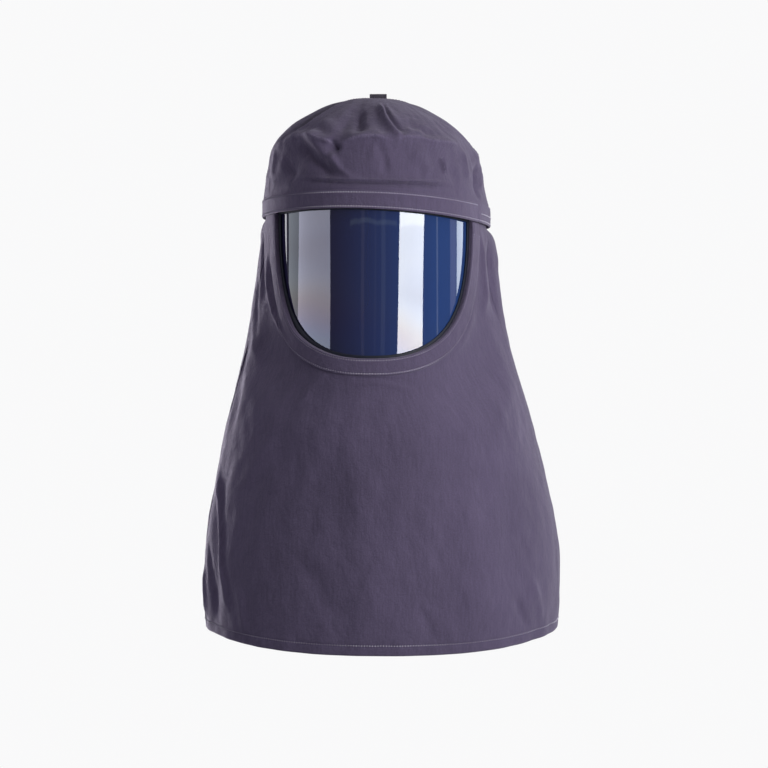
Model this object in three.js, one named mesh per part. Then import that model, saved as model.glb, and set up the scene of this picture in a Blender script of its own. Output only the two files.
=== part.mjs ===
// Arc flash hood: a soft fabric hood with a curved clear window, worn over a helmet.
// Units are millimetres, +Z is up and -Y is the side that the wearer looks out of.
// The origin is the underside of the crown's top, where the hood sits on what carries it.
import * as THREE from "three";

// Cloth and layers, from the outside in: band, crown, bib, window seal, window.
const CLOTH = 2.5;
const BAND_CLOTH = 1.4;
const FACING_CLOTH = 1.5;
const HEM_CLOTH = 3.8;
const SEAL_THICKNESS = 1.6;
const WINDOW_THICKNESS = 2;
const GAP = 0.4;

// Crown: the dome above the band's lower edge.
const CROWN_HEIGHT = 130;
const CROWN_HALF_WIDTH = 122.5;
const CROWN_FRONT = 150;
const CROWN_BACK = 130;

// Skirt: from the band's lower edge to the hem at the sides.
const SKIRT_LENGTH = 444;
const HEM_HALF_WIDTH = 196.5;
const HEM_FRONT = 166;
const HEM_BACK = 168;
const HEM_FRONT_DIP = 14.6;
const HEM_BACK_DIP = 8;
const HEM_HEIGHT = 12;
const HEM_STEP = 3.6;
const HEM_LOW_ANGLE = 2;
const LEAN = 6;

// Band round the brow, and how far each layer runs up behind it.
const BAND_HEIGHT = 19;
const BAND_SIDE_DROP = 5;
const BAND_TILT = 5;
const CROWN_HIDDEN_EDGE = 1.5;
const BIB_TUCK = 13;

// Window opening: a U cut in the bib's top edge, closed above by the band.
const OPENING_HALF_ANGLE = 60;
const OPENING_DEPTH = 154;
const OPENING_ROUNDNESS = 2.4;
const FACING_WIDTH = 18;
const SEAL_REVEAL = 5.5;
const SEAL_TOP_REVEAL = 1.5;
const SEAL_LAP = 9;
const WINDOW_LAP = 12;
const FACING_UNDER_BAND = GAP + 0.2;

// How far past the opening the cloth keeps the window's curve, as shares of the opening's size.
const HOLD_REACH = 1.14;
const HOLD_FADE = 0.4;

// Seams, given as angles round the hood from the middle of the front.
const CROWN_SEAM_LEFT = 79;
const CROWN_SEAM_RIGHT = 88;
const SIDE_SEAM = 80;

// Counts of facets.
const CROWN_COLUMNS = 28;
const CROWN_ROWS = 12;
const BAND_COLUMNS = 72;
const BIB_LINES = 60;
const BACK_COLUMNS = 34;
const BACK_ROWS = 13;
const FACING_COLUMNS = 60;
const SEAL_COLUMNS = 80;
const WINDOW_COLUMNS = 32;

// Tab of doubled tape that stands on the crown's top seam.
const TAB_WIDTH = 18.5;
const TAB_THICKNESS = 3.2;
const TAB_HEIGHT = 5.5;
const TAB_SHIFT = 5.5;

// Shape of the crown from the band up. Columns: rise is the share of the crown's height, width,
// front and back are shares of its sizes at the band, shift is the share of the lean.
const CROWN_SECTIONS = [
  { rise: 0.0, width: 1.0, front: 1.0, back: 1.0, shift: 0.0 },
  { rise: 0.15, width: 1.0, front: 1.0, back: 1.0, shift: 0.0 },
  { rise: 0.29, width: 0.974, front: 0.992, back: 0.982, shift: -0.15 },
  { rise: 0.43, width: 0.945, front: 0.972, back: 0.95, shift: -0.27 },
  { rise: 0.56, width: 0.902, front: 0.925, back: 0.9, shift: -0.38 },
  { rise: 0.67, width: 0.835, front: 0.835, back: 0.835, shift: -0.45 },
  { rise: 0.775, width: 0.72, front: 0.71, back: 0.735, shift: -0.49 },
  { rise: 0.87, width: 0.553, front: 0.54, back: 0.57, shift: -0.52 },
  { rise: 0.945, width: 0.385, front: 0.365, back: 0.4, shift: -0.52 },
  { rise: 0.985, width: 0.195, front: 0.185, back: 0.2, shift: -0.52 },
  { rise: 1.0, width: 0.0, front: 0.0, back: 0.0, shift: -0.52 },
];

// Shape of the skirt from the band down. Columns: drop is the share of the skirt's length, width,
// front and back are shares of the growth from band to hem, shift is the share of the lean.
const SKIRT_SECTIONS = [
  { drop: 0.0, width: 0.0, front: 0.0, back: 0.0, shift: 0.0 },
  { drop: 0.025, width: 0.08, front: 0.0, back: 0.02, shift: 0.3 },
  { drop: 0.06, width: 0.12, front: 0.0, back: 0.02, shift: 0.36 },
  { drop: 0.11, width: 0.156, front: 0.0, back: 0.0, shift: 0.3 },
  { drop: 0.19, width: 0.215, front: 0.02, back: 0.0, shift: 0.26 },
  { drop: 0.29, width: 0.312, front: 0.05, back: 0.08, shift: 0.4 },
  { drop: 0.38, width: 0.452, front: 0.15, back: 0.19, shift: 0.58 },
  { drop: 0.46, width: 0.577, front: 0.3, back: 0.32, shift: 0.66 },
  { drop: 0.54, width: 0.682, front: 0.45, back: 0.47, shift: 0.73 },
  { drop: 0.63, width: 0.8, front: 0.62, back: 0.63, shift: 0.85 },
  { drop: 0.72, width: 0.914, front: 0.77, back: 0.78, shift: 0.93 },
  { drop: 0.81, width: 0.98, front: 0.89, back: 0.89, shift: 1.0 },
  { drop: 0.9, width: 1.0, front: 0.97, back: 0.97, shift: 1.0 },
  { drop: 1.0, width: 0.965, front: 1.0, back: 1.0, shift: 1.0 },
];

// Folds and dents of the crown. Columns: angle is degrees round from the front, rise is the share of
// the crown's height, lean is degrees from upright. long and wide are half sizes and deep is outward,
// all three as shares of the crown's height.
const CROWN_FOLDS = [
  { angle: -62, rise: 0.57, lean: 84, long: 0.262, wide: 0.069, deep: 0.0246 },
  { angle: -28, rise: 0.55, lean: 96, long: 0.277, wide: 0.062, deep: 0.0262 },
  { angle: 8, rise: 0.56, lean: 88, long: 0.262, wide: 0.062, deep: 0.0231 },
  { angle: 44, rise: 0.56, lean: 84, long: 0.308, wide: 0.069, deep: 0.0246 },
  { angle: 80, rise: 0.52, lean: 62, long: 0.185, wide: 0.062, deep: 0.0277 },
  { angle: -46, rise: 0.34, lean: 34, long: 0.262, wide: 0.108, deep: -0.0323 },
  { angle: -20, rise: 0.47, lean: 30, long: 0.092, wide: 0.046, deep: -0.0277 },
  { angle: -12, rise: 0.74, lean: 8, long: 0.169, wide: 0.108, deep: -0.0308 },
  { angle: 14, rise: 0.74, lean: -30, long: 0.231, wide: 0.069, deep: 0.0200 },
  { angle: 46, rise: 0.3, lean: -8, long: 0.138, wide: 0.062, deep: -0.0185 },
  { angle: 68, rise: 0.28, lean: 8, long: 0.231, wide: 0.062, deep: -0.0231 },
];

// Folds of the skirt. Columns as above, with drop, long, wide and deep as shares of the skirt's length.
const SKIRT_FOLDS = [
  { angle: -71, drop: 0.16, lean: -4, long: 0.158, wide: 0.018, deep: 0.0072 },
  { angle: -58, drop: 0.37, lean: -38, long: 0.117, wide: 0.020, deep: 0.0063 },
  { angle: -76, drop: 0.36, lean: -14, long: 0.135, wide: 0.023, deep: -0.0063 },
  { angle: 71, drop: 0.18, lean: 2, long: 0.149, wide: 0.018, deep: 0.0068 },
  { angle: 60, drop: 0.4, lean: 22, long: 0.126, wide: 0.032, deep: 0.0050 },
  { angle: -66, drop: 0.8, lean: -3, long: 0.203, wide: 0.023, deep: -0.0090 },
  { angle: -26, drop: 0.72, lean: -6, long: 0.270, wide: 0.090, deep: -0.0101 },
  { angle: 22, drop: 0.9, lean: 16, long: 0.104, wide: 0.027, deep: -0.0059 },
  { angle: 116, drop: 0.68, lean: 6, long: 0.270, wide: 0.050, deep: 0.0135 },
  { angle: 146, drop: 0.72, lean: 3, long: 0.293, wide: 0.045, deep: -0.0135 },
  { angle: 180, drop: 0.66, lean: 0, long: 0.315, wide: 0.054, deep: 0.0146 },
  { angle: -146, drop: 0.72, lean: -3, long: 0.293, wide: 0.045, deep: -0.0135 },
  { angle: -116, drop: 0.68, lean: -6, long: 0.270, wide: 0.050, deep: 0.0135 },
];

// Layers that lie on the crown's outside, as distances outwards along its normal.
const BIB_OUTSIDE = -(CLOTH + GAP);
const SEAL_OUTSIDE = BIB_OUTSIDE - CLOTH - GAP;
const WINDOW_OUTSIDE = SEAL_OUTSIDE - SEAL_THICKNESS - GAP;

const BAND_LINE = CLOTH - CROWN_HEIGHT;
const OPENING_HALF_TURN = THREE.MathUtils.degToRad(OPENING_HALF_ANGLE);

const colours = {
  cloth: new THREE.MeshStandardMaterial({ color: 0x564d63, roughness: 0.9, metalness: 0 }),
  seal: new THREE.MeshStandardMaterial({ color: 0x14161c, roughness: 0.7, metalness: 0 }),
  window: new THREE.MeshStandardMaterial({
    color: 0x22315f,
    roughness: 0.08,
    metalness: 0,
    transparent: true,
    opacity: 0.55,
  }),
  tape: new THREE.MeshStandardMaterial({ color: 0x38323f, roughness: 0.95, metalness: 0 }),
};

const smoothStep = (x) => {
  const t = THREE.MathUtils.clamp(x, 0, 1);
  return t * t * (3 - 2 * t);
};

// Height of the band's lower edge at an angle: it drops to the sides and tilts a little.
function bandLine(angle) {
  const side = Math.sin(angle);
  return BAND_LINE - BAND_SIDE_DROP * side ** 2 - BAND_TILT * side;
}

// Height of the hem at an angle: nearly flat in front and behind, and higher at the sides.
function hemLine(angle) {
  const turned = angle - THREE.MathUtils.degToRad(HEM_LOW_ANGLE);
  const dip = Math.cos(turned) > 0 ? HEM_FRONT_DIP : HEM_BACK_DIP;
  return BAND_LINE - SKIRT_LENGTH - dip * (1 - Math.abs(Math.sin(turned)) ** 3);
}

// One row of a section table at a place between its rows, on a smooth curve through them.
function sectionAt(table, place, mirrored) {
  const last = table.length - 1;
  const index = Math.min(Math.floor(place), last - 1);
  const share = place - index;
  const row = {};
  for (const column of Object.keys(table[0])) {
    const value = (i) => {
      if (i < 0) return 2 * table[0][column] - table[1][column];
      if (i <= last) return table[i][column];
      const flips = mirrored && ["width", "front", "back"].includes(column);
      const keeps = mirrored && !flips;
      if (keeps) return table[last - 1][column];
      return 2 * table[last][column] - table[last - 1][column];
    };
    const [a, b, c, d] = [value(index - 1), value(index), value(index + 1), value(index + 2)];
    row[column] =
      0.5 *
      (2 * b +
        (c - a) * share +
        (2 * a - 5 * b + 4 * c - d) * share ** 2 +
        (3 * b - a - 3 * c + d) * share ** 3);
  }
  return row;
}

// Place in a section table where a rising column reaches a value.
function placeOf(table, column, value) {
  const last = table.length - 1;
  let [low, high] = [0, last];
  while (high - low > 1e-4) {
    const middle = (low + high) / 2;
    if (sectionAt(table, middle, false)[column] < value) low = middle;
    else high = middle;
  }
  return (low + high) / 2;
}

// Point of an oval section: a half ellipse in front and another behind.
function ovalPoint(angle, halfWidth, front, back, shift, height) {
  const depth = Math.cos(angle) > 0 ? front : back;
  return new THREE.Vector3(
    shift + halfWidth * Math.sin(angle),
    -depth * Math.cos(angle),
    height,
  );
}

// How far the folds of a table push the cloth outwards at an angle and a height. Their lengths are
// shares of a size.
function foldDepth(folds, size, angle, height, heightOf) {
  let sum = 0;
  for (const fold of folds) {
    const centre = THREE.MathUtils.degToRad(fold.angle);
    const lean = THREE.MathUtils.degToRad(fold.lean);
    const turn = Math.atan2(Math.sin(angle - centre), Math.cos(angle - centre));
    const across = turn * CROWN_HALF_WIDTH;
    const up = height - heightOf(fold, centre);
    const along = up * Math.cos(lean) + across * Math.sin(lean);
    const aside = across * Math.cos(lean) - up * Math.sin(lean);
    const reach = (along / (fold.long * size)) ** 2 + (aside / (fold.wide * size)) ** 2;
    sum += fold.deep * size * Math.exp(-reach);
  }
  return sum;
}

// Folds fade out towards the band, where the layers are stitched flat.
function flatNearBand(height, angle) {
  return smoothStep((Math.abs(height - bandLine(angle) - BIB_TUCK / 2) - BAND_HEIGHT) / BAND_HEIGHT);
}

// Crown: place runs along the rows of its table, from the band to the top.
function crownPoint(angle, place) {
  const row = sectionAt(CROWN_SECTIONS, place, true);
  const base = bandLine(angle);
  const height = base + row.rise * (CLOTH - base);
  return ovalPoint(
    angle,
    CROWN_HALF_WIDTH * row.width,
    CROWN_FRONT * row.front,
    CROWN_BACK * row.back,
    LEAN * row.shift,
    height,
  );
}

function crownFold(angle, place) {
  const row = sectionAt(CROWN_SECTIONS, place, true);
  const base = bandLine(angle);
  const height = base + row.rise * (CLOTH - base);
  const heightOf = (fold, centre) => bandLine(centre) + fold.rise * (CLOTH - bandLine(centre));
  const nearTop = smoothStep((1 - row.rise) / 0.2);
  const folds = foldDepth(CROWN_FOLDS, CROWN_HEIGHT, angle, height, heightOf);
  return folds * flatNearBand(height, angle) * nearTop;
}

// 1 on the window's own curve, and 0 where the skirt hangs free of it.
function windowHold(angle, height) {
  const below = Math.max(0, bandLine(angle) - height);
  const turn = Math.atan2(Math.sin(angle), Math.cos(angle));
  const reach =
    (Math.abs(turn / OPENING_HALF_TURN) ** OPENING_ROUNDNESS +
      (below / OPENING_DEPTH) ** OPENING_ROUNDNESS) **
    (1 / OPENING_ROUNDNESS);
  return 1 - smoothStep((reach - HOLD_REACH) / HOLD_FADE);
}

// Skirt at an angle and a height. Near the window it keeps the upright curve of the band.
function skirtPoint(angle, height) {
  const top = bandLine(angle);
  const drop = THREE.MathUtils.clamp((top - height) / (top - hemLine(angle)), 0, 1);
  const row = sectionAt(SKIRT_SECTIONS, placeOf(SKIRT_SECTIONS, "drop", drop), false);
  const free = drop > 0 ? 1 - windowHold(angle, height) : 0;
  return ovalPoint(
    angle,
    CROWN_HALF_WIDTH + (HEM_HALF_WIDTH - CROWN_HALF_WIDTH) * row.width * free,
    CROWN_FRONT + (HEM_FRONT - CROWN_FRONT) * row.front * free,
    CROWN_BACK + (HEM_BACK - CROWN_BACK) * row.back * free,
    LEAN * row.shift * free,
    height,
  );
}

function skirtFold(angle, height) {
  const heightOf = (fold, centre) =>
    bandLine(centre) + fold.drop * (hemLine(centre) - bandLine(centre));
  const free = 1 - windowHold(angle, height);
  const folds = foldDepth(SKIRT_FOLDS, SKIRT_LENGTH, angle, height, heightOf);
  return folds * flatNearBand(height, angle) * free;
}

// Outward normal of a surface, from its two directions.
function normalAt(surface, angle, across) {
  const step = 1e-3;
  const a = surface(angle + step, across).sub(surface(angle - step, across));
  const b = surface(angle, across + step).sub(surface(angle, across - step));
  const normal = a.cross(b);
  const point = surface(angle, across);
  const outwards = new THREE.Vector3(point.x, point.y, 0);
  if (normal.lengthSq() < 1e-14) return new THREE.Vector3(0, 0, 1);
  normal.normalize();
  return normal.dot(outwards) < 0 ? normal.negate() : normal;
}

// Layers on the crown and on the skirt: a distance outwards, with the cloth's own folds.
function onCrown(angle, place, outwards) {
  const top = place > CROWN_SECTIONS.length - 1 - 1e-6;
  if (top) return crownPoint(angle, place).add(new THREE.Vector3(0, 0, outwards));
  const normal = normalAt(crownPoint, angle, place);
  return crownPoint(angle, place).addScaledVector(normal, outwards + crownFold(angle, place));
}

function onSkirt(angle, height, outwards) {
  const normal = normalAt(skirtPoint, angle, height);
  return skirtPoint(angle, height).addScaledVector(
    normal,
    BIB_OUTSIDE + outwards + skirtFold(angle, height),
  );
}

// Closed wall between an outer and an inner grid of points. point(i, j, layer) gives both.
function wallGeometry(columns, rows, point, isRing = false) {
  const wide = isRing ? columns : columns + 1;
  const positions = [];
  const grid = [0, 1].map((layer) =>
    Array.from({ length: rows + 1 }, (_, j) =>
      Array.from({ length: wide }, (_, i) => {
        const p = point(i / columns, j / rows, layer);
        positions.push(p.x, p.y, p.z);
        return positions.length / 3 - 1;
      }),
    ),
  );
  const corner = (layer, i, j) => grid[layer][j][i % wide];
  const triangles = [];
  const same = (a, b) =>
    [0, 1, 2].every((k) => Math.abs(positions[3 * a + k] - positions[3 * b + k]) < 1e-5);
  const triangle = (a, b, c) => {
    if (!same(a, b) && !same(b, c) && !same(c, a)) triangles.push(a, b, c);
  };
  const quad = (a, b, c, d) => {
    triangle(a, b, c);
    triangle(a, c, d);
  };
  for (let j = 0; j < rows; j++) {
    for (let i = 0; i < columns; i++) {
      quad(corner(0, i, j), corner(0, i + 1, j), corner(0, i + 1, j + 1), corner(0, i, j + 1));
      quad(corner(1, i, j), corner(1, i, j + 1), corner(1, i + 1, j + 1), corner(1, i + 1, j));
    }
  }
  for (let i = 0; i < columns; i++) {
    quad(corner(0, i, 0), corner(1, i, 0), corner(1, i + 1, 0), corner(0, i + 1, 0));
    quad(corner(0, i, rows), corner(0, i + 1, rows), corner(1, i + 1, rows), corner(1, i, rows));
  }
  if (!isRing) {
    for (let j = 0; j < rows; j++) {
      quad(corner(0, 0, j), corner(0, 0, j + 1), corner(1, 0, j + 1), corner(1, 0, j));
      quad(
        corner(0, columns, j),
        corner(1, columns, j),
        corner(1, columns, j + 1),
        corner(0, columns, j + 1),
      );
    }
  }
  const geometry = new THREE.BufferGeometry();
  geometry.setAttribute("position", new THREE.Float32BufferAttribute(positions, 3));
  geometry.setIndex(facingOut(positions, triangles));
  geometry.computeVertexNormals();
  return geometry;
}

// The same triangles, turned so that the solid's volume is positive.
function facingOut(positions, triangles) {
  const at = (i) => new THREE.Vector3().fromArray(positions, 3 * i);
  let volume = 0;
  for (let k = 0; k < triangles.length; k += 3) {
    const [a, b, c] = [at(triangles[k]), at(triangles[k + 1]), at(triangles[k + 2])];
    volume += a.dot(b.cross(c));
  }
  if (volume > 0) return triangles;
  return triangles.map((_, k) => triangles[k - (k % 3) + [0, 2, 1][k % 3]]);
}

// Half of the crown between two seams that meet at its top.
function crownPanel(from, to, side) {
  const first = placeOf(CROWN_SECTIONS, "rise", CROWN_HIDDEN_EDGE / CROWN_HEIGHT);
  const last = CROWN_SECTIONS.length - 1;
  return wallGeometry(CROWN_COLUMNS, CROWN_ROWS, (across, up, layer) => {
    const angle = THREE.MathUtils.lerp(from, to, across);
    const place = THREE.MathUtils.lerp(first, last, up);
    const point = onCrown(angle, place, layer ? -CLOTH : 0);
    point.y += (side * GAP) / 2;
    return point;
  });
}

// Strip round the brow that covers the crown's lower edge.
function browBand() {
  const top = placeOf(CROWN_SECTIONS, "rise", BAND_HEIGHT / CROWN_HEIGHT);
  return wallGeometry(
    BAND_COLUMNS,
    1,
    (around, up, layer) => onCrown(around * 2 * Math.PI, top * up, GAP + (layer ? 0 : BAND_CLOTH)),
    true,
  );
}

// Edge of the window opening as an angle and a height. Turn runs from 0, at the left corner,
// through the bottom to 1, at the right corner, and wider grows the outline evenly.
function openingEdge(turn, wider, top) {
  const phase = Math.PI * turn;
  const power = 2 / OPENING_ROUNDNESS;
  const halfTurn = OPENING_HALF_TURN + wider / CROWN_HALF_WIDTH;
  const side = -Math.sign(Math.cos(phase)) * Math.abs(Math.cos(phase)) ** power;
  const angle = halfTurn * side;
  const start = bandLine(angle) + top;
  const depth = OPENING_DEPTH + wider + start - BAND_LINE;
  return { angle, height: start - depth * Math.sin(phase) ** power };
}

// Outer edge of the front bib: down the left seam, along the hem and up the right seam.
function bibEdge(turn, seam) {
  const sideShare = 0.3;
  if (turn > sideShare && turn < 1 - sideShare) {
    const angle = THREE.MathUtils.lerp(-seam, seam, (turn - sideShare) / (1 - 2 * sideShare));
    return { angle, height: hemLine(angle) };
  }
  const angle = turn < 0.5 ? -seam : seam;
  const share = Math.min(turn, 1 - turn) / sideShare;
  return { angle, height: THREE.MathUtils.lerp(bandLine(angle), hemLine(angle), share) };
}

// Cloth wall of the skirt, doubled inwards where the hem is turned up.
function skirtWall(angle, height, layer) {
  const nearHem = smoothStep((hemLine(angle) + HEM_HEIGHT + HEM_STEP - height) / HEM_STEP);
  return onSkirt(angle, height, layer ? -THREE.MathUtils.lerp(CLOTH, HEM_CLOTH, nearHem) : 0);
}

// Front bib: lines fan out from the opening's edge to the seams and the hem, and the first and
// last of them are the edges that run up behind the band.
function bibFront() {
  const seam = THREE.MathUtils.degToRad(SIDE_SEAM) - GAP / CROWN_HALF_WIDTH / 2;
  const steps = [0, 0.035, 0.075, 0.13, 0.2, 0.28, 0.37, 0.47, 0.57, 0.67, 0.77, 0.87, 0.955, 1];
  const columns = BIB_LINES + 2;
  return wallGeometry(columns, steps.length - 1, (across, out, layer) => {
    const line = Math.round(across * columns);
    const turn = THREE.MathUtils.clamp((line - 1) / BIB_LINES, 0, 1);
    const tuck = line === 0 || line === columns ? BIB_TUCK : 0;
    const share = steps[Math.round(out * (steps.length - 1))];
    const inner = openingEdge(turn, 0, 0);
    const outer = bibEdge(turn, seam);
    const angle = THREE.MathUtils.lerp(inner.angle, outer.angle, share);
    const top = tuck ? bandLine(angle) : THREE.MathUtils.lerp(inner.height, outer.height, share);
    return skirtWall(angle, top + tuck, layer);
  });
}

// Back bib: even rows, with one more that runs up behind the band and two for the turned hem.
function bibBack() {
  const seam = THREE.MathUtils.degToRad(SIDE_SEAM) + GAP / CROWN_HALF_WIDTH / 2;
  const rows = BACK_ROWS + 3;
  return wallGeometry(BACK_COLUMNS, rows, (across, down, layer) => {
    const angle = THREE.MathUtils.lerp(seam, 2 * Math.PI - seam, across);
    const row = Math.round(down * rows);
    const [top, hem] = [bandLine(angle), hemLine(angle)];
    const hemTop = hem + HEM_HEIGHT + HEM_STEP;
    let height = THREE.MathUtils.lerp(top, hemTop, (row - 1) / BACK_ROWS);
    if (row === 0) height = top + BIB_TUCK;
    if (row === rows - 1) height = hem + HEM_HEIGHT;
    if (row === rows) height = hem;
    return skirtWall(angle, height, layer);
  });
}

// Stitched-down strip along the opening's lower edge, on the outside of the bib.
function openingFacing() {
  return wallGeometry(FACING_COLUMNS, 2, (turn, out, layer) => {
    const inner = openingEdge(turn, 0, -FACING_UNDER_BAND);
    const outer = openingEdge(turn, FACING_WIDTH, -FACING_UNDER_BAND);
    const angle = THREE.MathUtils.lerp(inner.angle, outer.angle, out);
    const height = THREE.MathUtils.lerp(inner.height, outer.height, out);
    return onSkirt(angle, height, GAP + (layer ? 0 : FACING_CLOTH));
  });
}

// Dark strip all round the window, between the cloth and the clear sheet.
function windowSeal() {
  const sideShare = 0.7;
  const ring = (around, wider, top) => {
    if (around <= sideShare) return openingEdge(around / sideShare, wider, top);
    const back = (around - sideShare) / (1 - sideShare);
    const right = openingEdge(1, wider, top).angle;
    const angle = THREE.MathUtils.lerp(right, -right, back);
    return { angle, height: bandLine(angle) + top };
  };
  return wallGeometry(
    SEAL_COLUMNS,
    2,
    (around, out, layer) => {
      const inner = ring(around, -SEAL_REVEAL, -SEAL_TOP_REVEAL);
      const outer = ring(around, SEAL_LAP, SEAL_LAP);
      const angle = THREE.MathUtils.lerp(inner.angle, outer.angle, out);
      const height = THREE.MathUtils.lerp(inner.height, outer.height, out);
      return windowSheetPoint(angle, height, SEAL_OUTSIDE - (layer ? SEAL_THICKNESS : 0));
    },
    true,
  );
}

// The window's upright curve: the band's oval, moved in by whole layers.
function windowSheetPoint(angle, height, outwards) {
  return ovalPoint(
    angle,
    CROWN_HALF_WIDTH + outwards,
    CROWN_FRONT + outwards,
    CROWN_BACK + outwards,
    0,
    height,
  );
}

function windowSheet() {
  const half = OPENING_HALF_TURN + WINDOW_LAP / CROWN_HALF_WIDTH;
  const outline = new THREE.Shape();
  const arc = (outwards, from, to) => {
    for (let k = 0; k <= WINDOW_COLUMNS; k++) {
      const angle = THREE.MathUtils.lerp(from, to, k / WINDOW_COLUMNS);
      const p = windowSheetPoint(angle, 0, outwards);
      if (k === 0 && from < to) outline.moveTo(p.x, p.y);
      else outline.lineTo(p.x, p.y);
    }
  };
  arc(WINDOW_OUTSIDE, -half, half);
  arc(WINDOW_OUTSIDE - WINDOW_THICKNESS, half, -half);
  outline.closePath();
  const depth = OPENING_DEPTH + 2 * WINDOW_LAP;
  const geometry = new THREE.ExtrudeGeometry(outline, { depth, bevelEnabled: false });
  geometry.translate(0, 0, BAND_LINE - OPENING_DEPTH - WINDOW_LAP);
  return geometry;
}

// Doubled tape, seen from the side as a narrow upright with a rounded fold on top.
function topTab() {
  const radius = TAB_THICKNESS / 2;
  const outline = new THREE.Shape();
  outline.moveTo(-radius, 0);
  outline.lineTo(radius, 0);
  outline.lineTo(radius, TAB_HEIGHT - radius);
  outline.absarc(0, TAB_HEIGHT - radius, radius, 0, Math.PI, false);
  outline.closePath();
  const geometry = new THREE.ExtrudeGeometry(outline, {
    depth: TAB_WIDTH,
    bevelEnabled: false,
    curveSegments: 8,
  });
  geometry.translate(0, 0, -TAB_WIDTH / 2);
  geometry.rotateX(Math.PI / 2);
  geometry.rotateZ(Math.PI / 2);
  return geometry;
}

function named(name, geometry, material) {
  const mesh = new THREE.Mesh(geometry, material);
  mesh.name = name;
  return mesh;
}

const left = -THREE.MathUtils.degToRad(CROWN_SEAM_LEFT);
const right = THREE.MathUtils.degToRad(CROWN_SEAM_RIGHT);

const hood = new THREE.Group();
hood.add(named("crown_front", crownPanel(left, right, -1), colours.cloth));
hood.add(named("crown_back", crownPanel(right, left + 2 * Math.PI, 1), colours.cloth));
hood.add(named("brow_band", browBand(), colours.cloth));
hood.add(named("bib_front", bibFront(), colours.cloth));
hood.add(named("bib_back", bibBack(), colours.cloth));
hood.add(named("opening_facing", openingFacing(), colours.cloth));
hood.add(named("window_seal", windowSeal(), colours.seal));
hood.add(named("window", windowSheet(), colours.window));

const tab = named("top_tab", topTab(), colours.tape);
tab.position.set(LEAN * CROWN_SECTIONS.at(-1).shift + TAB_SHIFT, 0, CLOTH + GAP);
hood.add(tab);

export default hood;
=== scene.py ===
"""Arc flash hood: a soft fabric hood with a curved, tinted window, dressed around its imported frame."""

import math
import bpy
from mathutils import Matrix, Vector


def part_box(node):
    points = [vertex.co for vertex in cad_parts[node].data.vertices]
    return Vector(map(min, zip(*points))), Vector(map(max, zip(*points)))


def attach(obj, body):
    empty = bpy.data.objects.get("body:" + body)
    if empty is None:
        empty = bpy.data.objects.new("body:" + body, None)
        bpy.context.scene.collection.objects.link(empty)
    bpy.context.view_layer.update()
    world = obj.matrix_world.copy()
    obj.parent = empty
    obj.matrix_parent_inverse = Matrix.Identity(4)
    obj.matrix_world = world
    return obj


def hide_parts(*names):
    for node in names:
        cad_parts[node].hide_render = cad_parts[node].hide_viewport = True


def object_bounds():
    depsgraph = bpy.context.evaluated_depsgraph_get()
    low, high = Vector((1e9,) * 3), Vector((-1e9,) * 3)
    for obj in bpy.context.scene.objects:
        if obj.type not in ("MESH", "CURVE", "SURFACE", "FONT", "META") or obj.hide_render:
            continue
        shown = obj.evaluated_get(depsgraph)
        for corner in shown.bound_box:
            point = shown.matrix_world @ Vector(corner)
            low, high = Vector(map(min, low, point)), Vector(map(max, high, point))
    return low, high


bl_info = {
    "name": "Arc Flash Hood",
    "version": (1, 0, 0),
    "blender": (4, 5, 0),
    "location": "View3D > Sidebar > Hood",
    "description": "Builds a stitched fabric hood with a curved, tinted window",
    "category": "Add Mesh",
}

from collections import namedtuple

import bmesh
import bpy
import numpy as np
from bpy.props import FloatProperty, FloatVectorProperty, IntProperty, PointerProperty
from mathutils import Matrix, Vector

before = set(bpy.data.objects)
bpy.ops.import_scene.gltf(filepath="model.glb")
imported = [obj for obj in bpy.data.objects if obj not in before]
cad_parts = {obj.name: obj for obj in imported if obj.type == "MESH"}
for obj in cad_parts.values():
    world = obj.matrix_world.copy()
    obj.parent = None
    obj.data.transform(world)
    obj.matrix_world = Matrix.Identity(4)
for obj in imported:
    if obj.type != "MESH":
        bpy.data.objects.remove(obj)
CAD_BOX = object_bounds()
# The crown's underside is at height 0, so the height of its top is the thickness of its cloth.
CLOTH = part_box("crown_front")[1].z
WINDOW_LOW, WINDOW_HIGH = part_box("window")
TAB_LOW, TAB_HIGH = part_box("top_tab")

# Shape of the crown from the band up: at is the share of its height, width, front and back are shares
# of its sizes at the band, shift is the share of the lean.
Section = namedtuple("Section", "at width front back shift")
CROWN_SECTIONS = [
    Section(0.0, 1.0, 1.0, 1.0, 0.0),
    Section(0.15, 1.0, 1.0, 1.0, 0.0),
    Section(0.29, 0.974, 0.992, 0.982, -0.15),
    Section(0.43, 0.945, 0.972, 0.95, -0.27),
    Section(0.56, 0.902, 0.925, 0.9, -0.38),
    Section(0.67, 0.835, 0.835, 0.835, -0.45),
    Section(0.775, 0.72, 0.71, 0.735, -0.49),
    Section(0.87, 0.553, 0.54, 0.57, -0.52),
    Section(0.945, 0.385, 0.365, 0.4, -0.52),
    Section(0.985, 0.195, 0.185, 0.2, -0.52),
    Section(1.0, 0.0, 0.0, 0.0, -0.52),
]

# Shape of the skirt from the band down: width, front and back are shares of the growth to the hem.
SKIRT_SECTIONS = [
    Section(0.0, 0.0, 0.0, 0.0, 0.0),
    Section(0.025, 0.08, 0.0, 0.02, 0.3),
    Section(0.06, 0.12, 0.0, 0.02, 0.36),
    Section(0.11, 0.156, 0.0, 0.0, 0.3),
    Section(0.19, 0.215, 0.02, 0.0, 0.26),
    Section(0.29, 0.312, 0.05, 0.08, 0.4),
    Section(0.38, 0.452, 0.15, 0.19, 0.58),
    Section(0.46, 0.577, 0.3, 0.32, 0.66),
    Section(0.54, 0.682, 0.45, 0.47, 0.73),
    Section(0.63, 0.8, 0.62, 0.63, 0.85),
    Section(0.72, 0.914, 0.77, 0.78, 0.93),
    Section(0.81, 0.98, 0.89, 0.89, 1.0),
    Section(0.9, 1.0, 0.97, 0.97, 1.0),
    Section(1.0, 0.965, 1.0, 1.0, 1.0),
]

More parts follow.
